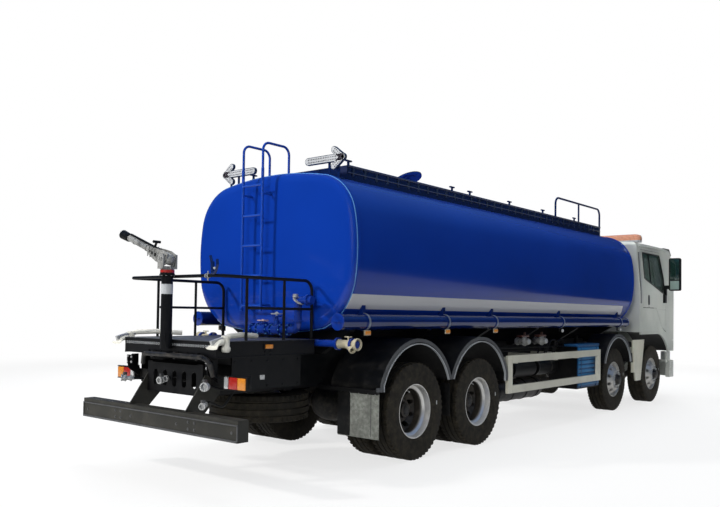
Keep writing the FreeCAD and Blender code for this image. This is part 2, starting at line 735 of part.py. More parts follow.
def domed_end(body, start, outward):
    """Shallow head on one end of the tank."""
    sections = []
    for shrink, reach in HEAD_STEPS:
        where = f"0 - ({start} + {outward} * {reach})"
        sections.append(draw(sketch(body, "XZ_Plane", where), tank_outline(f"(0 - {shrink})")))
    head = body.newObject("PartDesign::AdditiveLoft", body.Name + "_head")
    head.Profile = sections[0]
    head.Sections = sections[1:]
    head.Ruled = True


def water_tank():
    shell = new_body("tank_shell")
    straight = "tank_length - 2 * head_depth"
    pad(shell, draw(sketch(shell, "XZ_Plane", "head_depth - tank_end"), tank_outline("0")), straight)
    domed_end(shell, "tank_end - head_depth", 1)
    domed_end(shell, "tank_front + head_depth", -1)
    pieces = [shell]
    for name, start in (("rear_band", "tank_end - 70"), ("front_band", "tank_front + 70 + band_width")):
        pieces.append(cross_plate(name, tank_outline("band_rise"), (f"{start} - band_width", start)))
    neck = rod("neck", "manhole_radius", "90 + 60", (0, "manhole_place", "tank_top - 60"))
    pieces.append(neck)
    pieces += lid_lugs()
    well = rod("well", "manhole_radius - 16", "400", (0, "manhole_place", "tank_top - 250"))
    return node("water_tank", cut("tank_open", fuse("tank_whole", pieces), well))


def manhole_lid():
    """Round lid, stored open on its hinge at the right of the manhole."""
    centre = "0 - (lid_hinge)"
    low = "move_gap - 15"
    disc = rod("lid_disc", "manhole_radius + 18", "14", (centre, 0, low))
    dome = rod("lid_dome", "manhole_radius * 2 / 3", "12", (centre, 0, f"{low} + 14"))
    arm = block("lid_arm", ("0", centre), ("-25", "25"), (low, f"{low} + 14"))
    eye = rod("lid_eye", "17", "50", (0, "-25", 0), "Y")
    whole = fuse("lid_whole", [disc, dome, arm, eye])
    lid = cut("lid_bored", whole, rod("lid_bore", "9 + run_gap", "60", (0, "-30", 0), "Y"))
    place(lid, "lid_hinge", "manhole_place", "lid_level", ((0, 1, 0), -amount("lid_open")))
    return node("manhole_lid", lid)


def lid_lugs():
    """Two lugs on the tank with the pin of the lid's hinge."""
    pieces = [rod("lid_pin", "9", "90", ("lid_hinge", "manhole_place - 45", "lid_level"), "Y")]
    for name, sign in (("rear", "+"), ("front", "-")):
        where = f"manhole_place {sign} 37"
        pieces.append(block("lug_" + name, ("lid_hinge - 16", "lid_hinge + 16"), (f"{where} - 6", f"{where} + 6"),
                            ("tank_top - 20", "lid_level + 14")))
    return pieces


def tank_cradle():
    """Bearers on the rails and saddles shaped to the tank's underside."""
    bearer = block("bearer", ("frame_half - rail_flange", "frame_half"), ("tank_front + 60", "tank_end - 60"),
                   ("rail_top", "rail_top + 110"))
    pieces = [bearer, mirror("bearer_right", bearer)]
    saddles = []
    for index in range(6):
        where = f"tank_front + 350 + {index} * (tank_length - 700) / 5"
        outline = [
            ("-520", "rail_top + 60"), ("520", "rail_top + 60"), ("920", "tank_base + 30"), ("980", "tank_base + 230"),
            ("-980", "tank_base + 230"), ("-920", "tank_base + 30"),
        ]
        saddles.append(cross_plate(f"saddle_{index}", outline, (f"{where} - 40", f"{where} + 40")))
    hollow = cross_plate("cradle_cutter", tank_outline("fit_gap"), ("tank_front - 50", "tank_end + 50"))
    shaped = cut("saddles_shaped", fuse("saddles", saddles), hollow)
    return node("tank_cradle", fuse("cradle", pieces + [shaped]))


def side_tubes():
    """Hose tube with its straps along each lower side of the tank."""
    start = "tank_front + 170"
    tube = rod("tube", "tube_radius", "tank_length - 90", ("tube_half", start, "tube_level"), "Y")
    pieces = [tube]
    for index, back in enumerate(("330", "1850", "3000", "5040", "7400")):
        where = f"tank_end - {back}"
        strap = rod(f"strap_{index}", "tube_radius + 7", "60", ("tube_half", f"{where} - 30", "tube_level"), "Y")
        lug = block(f"lug_{index}", ("tube_half - 90", "tube_half"), (f"{where} - 30", f"{where} + 30"),
                    ("tube_level", "tube_level + 220"))
        pieces += [strap, lug]
    hollow = cross_plate("tube_cutter", tank_outline("fit_gap"), ("tank_front - 50", "tank_end + 50"))
    return node("side_tubes", pair("tubes", cut("tube_left", fuse("tube_whole", pieces), hollow)))


def roof_coaming():
    """Low upstand round the roof and the hooped rail at its front right."""
    wall = "10"
    front, rear = "tank_front + 430", "tank_end - 430"
    outer = block("coaming_outer", ("0 - coaming_half", "coaming_half"), (front, rear), ("tank_top - 120", "coaming_top"))
    inner = block("coaming_inner", (f"{wall} - coaming_half", f"coaming_half - {wall}"),
                  (f"{front} + {wall}", f"{rear} - {wall}"), ("tank_top - 200", "coaming_top + 50"))
    ring = cut("coaming_ring", outer, inner)
    hollow = cross_plate("coaming_cutter", tank_outline("fit_gap"), ("tank_front - 50", "tank_end + 50"))
    shaped = cut("coaming_shaped", ring, hollow)
    return node("roof_coaming", fuse("coaming", [shaped] + roof_rail()))


def roof_rail():
    """Handrail with two rounded corners over the front of the right coaming."""
    x, front, rear, top = "8 - coaming_half", "tank_front + 450", "tank_front + 2260", "roof_rail_top"
    foot = "coaming_top - 30"
    leg = f"{top} - rail_bend - ({foot})"
    return [
        rod("roof_leg_front", "post_radius", leg, (x, front, foot)),
        elbow("roof_bend_front", "post_radius", "rail_bend", (x, front, top), (0, 0, 1), (0, 1, 0)),
        rod("roof_bar", "post_radius", f"{rear} - ({front}) - 2 * rail_bend", (x, f"{front} + rail_bend", top), "Y"),
        elbow("roof_bend_rear", "post_radius", "rail_bend", (x, rear, top), (0, 1, 0), (0, 0, -1)),
        rod("roof_leg_rear", "post_radius", leg, (x, rear, foot)),
        rod("roof_post", "post_radius - 2", f"{top} - ({foot})", (x, f"({front} + {rear}) / 2", foot)),
    ]


def rear_ladder():
    """Ladder up the tank's rear face, with handrails over the top."""
    pieces = []
    half, centre = "155", "130"
    back = "tank_end + 130"
    for side, sign in (("left", "+"), ("right", "-")):
        x = f"{centre} {sign} {half}"
        pieces.append(rod("stile_" + side, "17", "tank_height - 175", (x, back, "tank_base + 230")))
        pieces.append(rod("foot_" + side, "14", "130", (x, "tank_end + fit_gap", "tank_base + 300"), "Y"))
        pieces.append(rod("head_" + side, "14", "130", (x, "tank_end + fit_gap", "tank_top - 220"), "Y"))
        pieces += hoop("hoop_" + side, x, back)
    for index in range(5):
        level = f"tank_base + 290 + {index} * (tank_height - 415) / 4"
        pieces.append(rod(f"rung_{index}", "12", f"2 * {half}", (f"{centre} - {half}", back, level), "X"))
    return node("rear_ladder", fuse("ladder", pieces))


def hoop(name, x, back):
    """Handrail that rises from a stile, bends forward over the roof and comes down on it."""
    low, high, front = "tank_top + 50", "tank_top + 355 - hoop_radius", f"{back} - 400"
    leg = f"{high} - hoop_bend - ({low})"
    return [
        rod(name + "_rise", "hoop_radius", leg, (x, back, low)),
        elbow(name + "_rear_bend", "hoop_radius", "hoop_bend", (x, back, high), (0, 0, 1), (0, -1, 0)),
        rod(name + "_level", "hoop_radius", f"{back} - ({front}) - 2 * hoop_bend", (x, f"{front} + hoop_bend", high), "Y"),
        elbow(name + "_front_bend", "hoop_radius", "hoop_bend", (x, front, high), (0, -1, 0), (0, 0, -1)),
        rod(name + "_fall", "hoop_radius", f"{high} - hoop_bend - (tank_top + 6)", (x, front, "tank_top + 6")),
    ]


def arrow_lamps():
    """Arrow-shaped lamp boards at the tank's rear upper corners."""
    y = ("tank_end - 180", "tank_end - 140")
    low, middle, high = "tank_top - 10", "tank_top + 115", "tank_top + 240"
    arrow = [
        ("390", f"{middle} - 42"), ("750", f"{middle} - 42"), ("700", f"{low} + 20"), ("775", low), ("960", middle),
        ("775", high), ("700", f"{high} - 20"), ("750", f"{middle} + 42"), ("390", f"{middle} + 42"),
    ]
    board = cross_plate("arrow", arrow, y)
    post = block("arrow_post", ("690", "740"), ("tank_end - 170", "tank_end - 150"), ("tank_top - 110", middle))
    hollow = cross_plate("arrow_cutter", tank_outline("fit_gap"), ("tank_front - 50", "tank_end + 50"))
    return node("arrow_lamps", pair("arrows", cut("arrow_left", fuse("arrow_whole", [board, post]), hollow)))


# ---------------------------------------------------------------- cab

def cab_side(inset):
    """Side view of the cab: columns y, z and how an inset moves each corner."""
    corners = [
        ("cab_rear", "cab_floor", -1, 1), ("cab_rear", "cab_top - 75", -1, -1),
        ("cab_rear - 60", "cab_top - 15", -0.5, -1), ("cab_front + 640", "cab_top", 0, -1),
        ("cab_front + 330", "cab_top - 70", 0.6, -1), ("cab_front + 10", "belt_front - 20", 1, -0.2),
        ("cab_front", "belt_front - 120", 1, 0), ("cab_front", "950", 1, 1),
    ]
    moved = [(f"{y} + {dy} * ({inset})", f"{z} + {dz} * ({inset})") for y, z, dy, dz in corners]
    reach = f"arch_radius + {inset}"
    low = f"950 + {inset}"
    drop = f"({low} - axle_level)"
    start = (f"axle_1 - sqrt(({reach}) * ({reach}) - {drop} * {drop})", low)
    middle = (f"axle_1 - 0.5 * ({reach})", f"axle_level + 0.8660254 * ({reach})")
    end = ("axle_1", f"axle_level + {reach}")
    return moved + [start + middle, end]


def cab_plan(inset):
    """Plan view: square at the rear, rounded at the front."""
    side, front, back = f"cab_half - ({inset})", f"cab_front + {inset}", f"cab_rear - ({inset})"
    right = [
        (f"0 - ({side})", back), (f"{side}", back),
        (side, f"{front} + 340", f"{side} - 85", f"{front} + 115"),
        (f"{side} - 330", f"{front} + 30", "0", front),
        (f"330 - ({side})", f"{front} + 30", f"85 - ({side})", f"{front} + 115"),
        (f"0 - ({side})", f"{front} + 340"),
    ]
    return right


def cab_across(inset):
    """Front view: upright to the sill, then leaning in to a rounded roof."""
    side, top = f"cab_half - ({inset})", f"cab_top + 8 - ({inset})"
    return [
        (f"0 - ({side})", "900"), (side, "900"), (side, "belt_front"),
        (f"{side} - 62", f"{top} - 150", f"{side} - 95", f"{top} - 62"), (f"{side} - 190", f"{top} - 30", "0", top),
        (f"190 - ({side})", f"{top} - 30", f"95 - ({side})", f"{top} - 62"), (f"62 - ({side})", f"{top} - 150"),
        (f"0 - ({side})", "belt_front"),
    ]


def cab_form(name, inset):
    side = side_plate(name + "_side", cab_side(inset), ("0 - cab_half - 20", "cab_half + 20"))
    plan = flat_plate(name + "_plan", cab_plan(inset), ("850", "cab_top + 60"))
    across = cross_plate(name + "_across", cab_across(inset), ("cab_front - 50", "cab_rear + 50"))
    return common(name, [side, plan, across])


def door_outline(inset):
    """Door in side view; an inset shrinks it all round."""
    corners = [
        ("door_front", "cab_floor - 20", 1, 3.5), ("door_front + 220", "cab_floor + 70", -0.6, 0.85),
        ("door_front + 560", "cab_floor + 445", -0.45, 1), ("door_rear", "cab_floor + 445", -1, 1),
        ("door_rear", "cab_top - 150", -1, -1), ("door_front + 190", "cab_top - 150", 0.75, -1),
        ("door_front", "belt_front + 240", 1, -0.15),
    ]
    return [(f"{y} + {dy} * ({inset})", f"{z} + {dz} * ({inset})") for y, z, dy, dz in corners]


def window_outline():
    return [
        ("door_front + 90", "belt_front"), ("door_rear - 110", "belt_rear"), ("door_rear - 90", "window_top"),
        ("door_front + 260", "window_top"), ("door_front + 90", "belt_front + 290"),
    ]


def cab():
    outer = cab_form("cab_outer", "0")
    inner = cab_form("cab_inner", "cab_wall")
    skin = cut("cab_skin", outer, inner)
    glass = cut("cab_glass_skin", cab_form("glass_outer", "12"), cab_form("glass_inner", "12 + glass_wall"))
    reach = ("cab_half - 400", "cab_half + 60")
    openings = []
    for side, sign in SIDES:
        span = reach if sign > 0 else ("0 - cab_half - 60", "400 - cab_half")
        openings.append(side_plate("doorway_" + side, door_outline("0"), span))
        leaf = side_plate("leaf_" + side, door_outline("move_gap"), span)
        light = side_plate("light_" + side, window_outline(), span)
        panel = cut("panel_" + side, common("door_whole_" + side, [skin, leaf]), light)
        node("door_" + side, panel)
        pane = side_plate("pane_" + side, window_outline(), span)
        node("door_glass_" + side, common("glass_" + side, [glass, pane]))
    screen = [
        ("-1040", "belt_front + 40"), ("1040", "belt_front + 40"), ("1000", "cab_top - 190"), ("-1000", "cab_top - 190"),
    ]
    depth = ("cab_front - 60", "cab_front + 480")
    openings.append(cross_plate("screen_hole", screen, depth))
    node("windscreen", common("screen", [glass, cross_plate("screen_pane", screen, depth)]))
    openings += cab_underside()
    hollowed = cut("cab_open", skin, fuse("cab_openings", openings))
    side = "cab_half - cab_wall - move_gap"
    floor = block("floor_plate", (f"0 - ({side})", side), ("cab_front", "axle_1 + 50"),
                  ("cab_floor", "cab_floor + cab_wall"))
    pieces = [hollowed, common("floor_fitted", [floor, outer])]
    arm = block("tilt_arm", ("frame_half + 26", "frame_half + 56"), ("tilt_place - 45", "tilt_place + 45"),
                ("tilt_level - 40", "cab_floor + 20"))
    pieces += [arm, mirror("tilt_arm_right", arm)]
    for name, level in (("low", "1500"), ("high", "2040")):
        lug = block("hinge_" + name, ("cab_half - 34", "cab_half - 12"), ("door_front - 4", "door_front + move_gap - fit_gap"),
                    (level, f"{level} + 60"))
        web = block("hinge_web_" + name, ("cab_half - 14", "cab_half - 1"), ("door_front - 4", "door_front + move_gap / 2"),
                    (level, f"{level} + 60"))
        pin = rod("hinge_pin_" + name, "move_gap / 2 - 0.6", "60", ("cab_half", "door_front + move_gap / 2", level))
        hinge = fuse("hinge_whole_" + name, [lug, web, pin])
        pieces += [hinge, mirror(f"hinge_{name}_right", hinge)]
    bore = rod("tilt_bore", "pivot_radius + run_gap", "2 * frame_half + 200", ("0 - frame_half - 100", "tilt_place",
                                                                              "tilt_level"), "X")
    node("cab_shell", cut("cab_bored", fuse("cab_whole", pieces), bore))


def cab_underside():
    """What is cut away below the floor: the space over the engine and frame, and the open bottom of the nose."""
    nose = ("cab_front + cab_wall", "axle_1")
    tunnel = block("engine_space", ("-620", "620"), ("cab_front + cab_wall", "axle_1 + 60"), ("880", "cab_floor"))
    bottom = block("nose_space", ("cab_wall - cab_half", "cab_half - cab_wall"), nose, ("880", "950 + cab_wall + 1"))
    return [tunnel, bottom]


def cab_fittings():
    seats = []
    for side, sign in SIDES:
        middle = f"{sign} * 560"
        x = (f"{middle} - 250", f"{middle} + 250")
        base = block("seat_base_" + side, x, ("cab_rear - 900", "cab_rear - 420"), ("cab_floor + cab_wall + fit_gap", "1700"))
        back = block("seat_back_" + side, x, ("cab_rear - 520", "cab_rear - 390"), ("1700", "2330"))
        seats.append(fuse("seat_" + side, [base, back]))
    node("cab_seats", group("seats", seats))
    board = side_plate("board", [
        ("cab_front + 150", "1400"), ("cab_front + 500", "1500"), ("cab_front + 560", "1850"),
        ("cab_front + 420", "2000"), ("cab_front + 150", "2020"),
    ], ("-1120", "1120"))
    fitted = common("board_fitted", [board, cab_form("board_limit", "cab_wall + 2 * fit_gap")])
    wheel = doc.addObject("Part::Torus", "steering_rim")
    wheel.Radius1 = 210
    wheel.Radius2 = 15
    tilt = ((1, 0, 0), 25)
    place(wheel, "560", "cab_front + 800", "2000", tilt)
    column = rod("column", "30", "420", ("560", "cab_front + 800", "1990"))
    column.Placement = FreeCAD.Placement(V(), FreeCAD.Rotation(V(1, 0, 0), 118))
    place(column, "560", "cab_front + 800", "1990")
    spoke = block("spoke", ("350", "770"), ("cab_front + 780", "cab_front + 820"), ("1990", "2010"))
    node("dashboard", fuse("dash", [fitted, wheel, column, spoke]))
    visor = cross_plate("visor", [
        ("-1130", "cab_top - 150"), ("1130", "cab_top - 150"), ("1090", "cab_top - 10"), ("-1090", "cab_top - 10"),
    ], ("cab_front + 60", "cab_front + 400"))
    blade = cut("visor_blade", visor, cab_form("visor_limit", "0 - 12"))
    brackets = [block(f"visor_bracket_{index}", (f"{x} - 20", f"{x} + 20"), ("cab_front + 200", "cab_front + 400"),
                      ("cab_top - 120", "cab_top - 20")) for index, x in enumerate(("-800", "0", "800"))]
    seated = cut("brackets_cut", fuse("visor_brackets", brackets), cab_form("bracket_limit", "0 - fit_gap"))
    node("sun_visor", fuse("visor_whole", [blade, seated]))
    bar = block("bar", ("-950", "950"), ("cab_rear - 1010", "cab_rear - 830"), ("cab_top + 45", "cab_top + 205"))
    feet = [block(f"bar_foot_{index}", (f"{x} - 40", f"{x} + 40"), ("cab_rear - 950", "cab_rear - 890"),
                  ("cab_top - 40", "cab_top + 50")) for index, x in enumerate(("-600", "600"))]
    feet_cut = cut("feet_cut", fuse("feet", feet), cab_form("feet_limit", "0 - fit_gap"))
    node("light_bar", fuse("bar_whole", [bar, feet_cut]))


def mirrors():
    for side, sign in SIDES:
        def span(low, high):
            return (low, high) if sign > 0 else (f"0 - ({high})", f"0 - ({low})")

        y = "door_front + 60"
        head = new_body("mirror_head_" + side)
        low, high = span("cab_half + 100", "cab_half + 315")
        pad(head, draw(sketch(head, "XZ_Plane", f"0 - ({y} + 90)"), rectangle((low, high), ("2125", "2755"))), "90")
        round_edges(head, "32", lambda edge: edge.BoundBox.YLength > 80 or edge.BoundBox.YMax < amount(y) + 5)
        arm = block("mirror_arm_" + side, span("cab_half + fit_gap", "cab_half + 120"), (f"{y} + 20", f"{y} + 70"),
                    ("2160", "2230"))
        foot = block("mirror_foot_" + side, span("cab_half + fit_gap", "cab_half + 30"), (f"{y} - 20", f"{y} + 110"),
                     ("1890", "belt_front"))
        riser = block("mirror_riser_" + side, span("cab_half + fit_gap", "cab_half + 50"), (f"{y} + 20", f"{y} + 70"),
                      ("belt_front - 20", "2230"))
        node("mirror_" + side, fuse("mirror_whole_" + side, [head, arm, foot, riser]))


# ---------------------------------------------------------------- guards and lamps

def arch_form(name, where, half, top, lows, x):
    """What lies under a mudguard: upright ends below a flattened arch."""
    knee = "axle_level + 330"
    outline = [
        (f"{where} - ({half})", lows[0]), (f"{where} + {half}", lows[1]),
        (f"{where} + {half}", knee, where, top), (f"{where} - ({half})", knee),
    ]
    return side_plate(name, outline, x)


def mudguard(name, arches, x):
    """Skin over one or two wheels, on a stay from the frame for each."""
    outers, inners, stays = [], [], []
    deep = (f"{x[0]} - 10", f"{x[1]} + 10")
    for where, half, top, lows in arches:
        number = len(outers)
        outers.append(arch_form(f"{name}_outer_{number}", where, half, top, lows, x))
        lower = [f"{low} - 50" for low in lows]
        inners.append(arch_form(f"{name}_inner_{number}", where, f"{half} - guard_wall", f"{top} - guard_wall", lower, deep))
        span = (f"{where} - 30", f"{where} + 30")
        stays.append(block(f"{name}_rise_{number}", ("frame_half + fit_gap", "frame_half + 40"), span,
                           ("950", f"{top} - guard_wall / 2")))
        stays.append(block(f"{name}_reach_{number}", ("frame_half + 20", f"{x[0]} + 120"), span,
                           (f"{top} - 45", f"{top} - guard_wall / 2")))
    if len(outers) > 1:
        outers, inners = [fuse(name + "_outers", outers)], [fuse(name + "_inners", inners)]
    skin = cut(name + "_skin", outers[0], inners[0])
    return fuse(name, [skin] + stays)


def mudguards():
    low, high = "guard_top - 25", "guard_top"
    twin_half = "drive_spacing / 2 + guard_wall / 2"
    single = mudguard("single_guard", [("axle_2", "640", low, ("820", "835"))], ("820", "1210"))
    twin = mudguard("twin_guard", [
        ("axle_3", twin_half, high, ("760", "840")), ("axle_4", twin_half, high, ("840", "790")),
    ], ("580", "1250"))
    return node("mudguards", group("all_mudguards", [single, mirror("single_guard_right", single),
                                                     twin, mirror("twin_guard_right", twin)]))


def side_panels():
    """White panels between the two steered wheels."""
    outline = [
        ("axle_1 + 880", "470"), ("axle_1 + 1140", "470"), ("axle_1 + 1290", "1200"), ("axle_1 + 690", "1200"),
    ]
    skin = side_plate("panel", outline, ("1216", "1240"))
    shelf = block("panel_shelf", ("frame_half + fit_gap", "1216"), ("axle_1 + 900", "axle_1 + 1100"), ("960", "1060"))
    return fuse("panel_left", [skin, shelf])


def mud_flaps():
    face = "axle_4 + drive_spacing / 2 + guard_wall / 2 + fit_gap"
    flap = block("flap", ("690", "1240"), (face, f"{face} + 10"), ("300", "785"))
    hanger = block("flap_hanger", ("frame_half + fit_gap", "1240"), (f"{face} + 10", f"{face} + 45"), ("770", "815"))
    return node("mud_flaps", pair("flaps", fuse("flap_left", [flap, hanger])))


def side_guards():
    """Welded frames of rectangular tube between the second and third axles."""
    front, rear = "axle_2 + 890", "axle_3 - 710"
    low, high = "580", "1075"
    x = ("1210", "1250")
    outer = block("guard_outer", x, (front, rear), (low, high))
    inner = block("guard_inner", ("1200", "1260"), (f"{front} + 120", f"{rear} - 120"),
                  (f"{low} + guard_bar", f"{high} - guard_bar"))
    frame = cut("guard_frame", outer, inner)
    pieces = [frame]
    for index, where in enumerate((f"{front} + 800", f"({front} + {rear}) / 2", f"{rear} - 300")):
        pieces.append(block(f"guard_arm_{index}", ("frame_half + fit_gap", "1215"), (f"{where} - 30", f"{where} + 30"),
                            ("960", "1040")))
    left = [fuse("guard_left", pieces), side_panels()]
    return node("side_guards", group("guards", left + [mirror(part.Name + "_right", part) for part in left]))


def filter_box():
    """Ribbed housing on the right, behind the second axle."""
    x = ("-1150", "-690")
    y = ("axle_2 + 750", "axle_2 + 1590")
    pieces = [block("filter_body", x, y, ("470", "1120")),
              block("filter_lid", ("-1130", "-710"), (f"{y[0]} + 20", f"{y[1]} - 20"), ("1120", "1165"))]
    for index in range(6):
        where = f"{y[0]} + 70 + {index} * 140 - 12"
        pieces.append(block(f"filter_rib_{index}", ("-1162", "-1140"), (where, f"{where} + 24"), ("500", "1095")))
    for index, back in enumerate(("160", "600")):
        pieces.append(block(f"filter_arm_{index}", ("-720", "0 - frame_half - fit_gap"),
                            (f"{y[0]} + {back}", f"{y[0]} + {back} + 80"), ("820", "920")))
    return node("filter_box", fuse("filter_whole", pieces))


def fuel_tank():
    """Round-cornered tank on the left side."""
    y = ("axle_2 + 740", "axle_2 + 1640")
    body = new_body("fuel_shell")
    outline = rectangle(("620", "1180"), ("560", "1050"))
    pad(body, draw(sketch(body, "XZ_Plane", f"0 - ({y[1]})"), outline), f"({y[1]}) - ({y[0]})")
    round_edges(body, "90", lambda edge: edge.BoundBox.YLength > 100)
    cap = rod("fuel_cap", "55", "40", ("900", f"{y[0]} + 200", "1049"))
    arms = [block(f"fuel_arm_{index}", ("frame_half + fit_gap", "640"), (f"{y[0]} + {back}", f"{y[0]} + {back} + 70"),
                  ("820", "1000")) for index, back in enumerate(("150", "650"))]
    return node("fuel_tank", fuse("fuel_whole", [body, cap] + arms))


def air_tanks():
    """Three brake air vessels on the right, inside the guard."""
    pieces = []
    for index in range(3):
        y = f"vessel_start + {index} * vessel_pitch"
        vessel = rod(f"vessel_{index}", "125", "vessel_pitch - 80", ("-780", y, "830"), "Y")
        middle = f"{y} + vessel_pitch / 2"
        strap = block(f"vessel_strap_{index}", ("-720", "0 - frame_half - fit_gap"), (f"{middle} - 80", middle),
                      ("860", "930"))
        pieces.append(fuse(f"vessel_whole_{index}", [vessel, strap]))
    return node("air_tanks", group("vessels", pieces))


def front_bumper():
    outline = [
        ("-1225", "front_end + 520"), ("-1225", "front_end + 330", "-1140", "front_end + 110"),
        ("-915", "front_end + 30", "0", "front_end"), ("915", "front_end + 30", "1140", "front_end + 110"),
        ("1225", "front_end + 330"), ("1225", "front_end + 520"), ("1150", "front_end + 520"),
        ("1150", "front_end + 360", "1075", "front_end + 180"), ("880", "front_end + 105", "0", "front_end + 75"),
        ("-880", "front_end + 105", "-1075", "front_end + 180"), ("-1150", "front_end + 360"),
        ("-1150", "front_end + 520"),
    ]
    shell = flat_plate("bumper_shell", outline, ("430", "750"))
    sockets = []
    for side, sign in SIDES:
        x = ("660", "1000") if sign > 0 else ("-1000", "-660")
        sockets.append(block("lamp_socket_" + side, x, ("front_end - 10", "front_end + 70"), ("540", "680")))
    horns = []
    for side, sign in SIDES:
        x = ("350", "430") if sign > 0 else ("-430", "-350")
        horns.append(block("bumper_horn_" + side, x, ("front_end + 60", "frame_front + 120"), ("520", "670")))
        horns.append(block("bumper_rise_" + side, x, ("frame_front", "frame_front + 120"),
                           ("660", "rail_base - fit_gap")))
    opened = cut("bumper_open", shell, fuse("sockets", sockets))
    return node("front_bumper", fuse("bumper_whole", [opened] + horns + entry_steps()))


def entry_steps():
    """Step well behind each corner of the bumper, inside the swing of the cab's skirt."""
    y = ("front_end + 375", "front_end + 600")
    pieces = [
        block("step_cheek", ("1162", "1190"), y, ("700", "938")),
        block("step_tread", ("1080", "1190"), y, ("735", "765")),
        block("step_back", ("1080", "1092"), y, ("735", "938")),
        block("step_tie", ("1085", "1180"), (y[0], "front_end + 500"), ("715", "745")),
    ]
    return pieces + [mirror(part.Name + "_right", part) for part in pieces]


def headlamp():
    lamp = block("headlamp", ("660 + fit_gap", "1000 - fit_gap"), ("front_end + 24", "front_end + 70 - fit_gap"),
                 ("540 + fit_gap", "680 - fit_gap"))
    return lamp


def rear_bumper():
    bar = block("rear_bar", ("0 - bar_half", "bar_half"), ("rear_end - 120", "rear_end"), ("490", "680"))
    hollow = block("rear_bar_hollow", ("0 - bar_half - 10", "bar_half + 10"), ("rear_end - 130", "rear_end - 8"), ("498", "672"))
    channel = cut("rear_channel", bar, hollow)
    strut = side_plate("rear_strut", [
        ("rear_end - 110", "500"), ("rear_end - 8", "500"), ("rear_end - 8", "640"),
        ("frame_rear - 20", "1000"), ("frame_rear - 200", "1000"), ("frame_rear - 200", "820"),
    ], ("frame_half + fit_gap", "frame_half + 14"))
    caps = block("bar_cap", ("bar_half - 8", "bar_half"), ("rear_end - 120", "rear_end"), ("490", "680"))
    return node("rear_bumper", fuse("rear_guard", [channel, strut, mirror("strut_right", strut), caps, mirror("cap_right", caps)]))


def road_lamps():
    lamp = block("tail_lamp", ("700", "1000"), ("rear_end - 330", "rear_end - 270"), ("890", "1015"))
    arm = block("tail_lamp_arm", ("frame_half + 14 + fit_gap", "760"), ("rear_end - 345", "rear_end - 330"), ("900", "1000"))
    left = [fuse("tail_left", [lamp, arm]), headlamp()]
    return node("road_lamps", group("lamps", left + [mirror(part.Name + "_right", part) for part in left]))


# ---------------------------------------------------------------- rear platform

def work_platform():
    deck = block("deck", ("0 - deck_half", "deck_half"), ("deck_front", "deck_rear"), ("deck_top - 12", "deck_top"))
    skirts = []
    base = "deck_top - deck_wall"
    outer = block("deck_frame", ("0 - deck_half", "deck_half"), ("deck_front", "deck_rear"), (base, "deck_top - 12"))
    inner = block("deck_void", ("60 - deck_half", "deck_half - 60"), ("deck_front + 60", "deck_rear - 60"),
                  (f"{base} - 10", "deck_top - 12"))
    skirts.append(cut("deck_edge", outer, inner))
    for index in range(3):
        y = f"deck_front + 250 + {index} * 380"
        skirts.append(block(f"deck_bearer_{index}", ("80 - deck_half", "deck_half - 80"), (y, f"{y} + 50"),
                            ("rail_top + fit_gap", "deck_top - 12")))
    panel = block("deck_panel", ("deck_half - 8", "deck_half"), ("deck_front + 200", "deck_rear - 200"), ("865", base))
    return node("work_platform", fuse("platform", [deck] + skirts + [panel, mirror("panel_right", panel)]))


def platform_rails():
    """Handrail round the platform, its two side bars and posts, and the pillar of the water cannon."""
    x, front, rear, top = "deck_half - 18", "deck_front + 30", "deck_rear - 18", "rail_level"
    seat, middle = "deck_top + fit_gap", "deck_top + 313"
    pieces = [
        rod("rail_leg", "post_radius", f"{top} - rail_bend - ({seat})", (x, front, seat)),
        elbow("rail_front_bend", "post_radius", "rail_bend", (x, front, top), (0, 0, 1), (0, 1, 0)),
        rod("rail_side", "post_radius", f"{rear} - ({front}) - 2 * rail_bend", (x, f"{front} + rail_bend", top), "Y"),
        elbow("rail_rear_bend", "post_radius", "rail_bend", (x, rear, top), (0, 1, 0), (-1, 0, 0)),
        rod("rail_middle", "post_radius - 3", "deck_length * 2 / 3", (x, front, middle), "Y"),
    ]
    for index, share in enumerate(("0.33", "0.71")):
        where = f"deck_front + {share} * deck_length"
        pieces.append(rod(f"rail_post_{index}", "post_radius - 2", f"{top} - ({seat})", (x, where, seat)))
    half = fuse("rail_half", pieces)
    reach = f"{x} - rail_bend"
    cross = rod("rail_cross", "post_radius", f"2 * ({reach})", (f"0 - ({reach})", rear, top), "X")
    pillar = rod("pillar", "pillar_radius", "rail_level + 20 - 1240", ("0 - pillar_side", "cannon_place", "1240"))
    arm = block("pillar_arm", ("0 - pillar_side - 30", "30 - pillar_side"), (rear, "cannon_place"), (f"{top} - 10", f"{top} + 10"))
    return node("platform_rails", fuse("rails", [half, mirror("rail_half_right", half), cross, pillar, arm]))


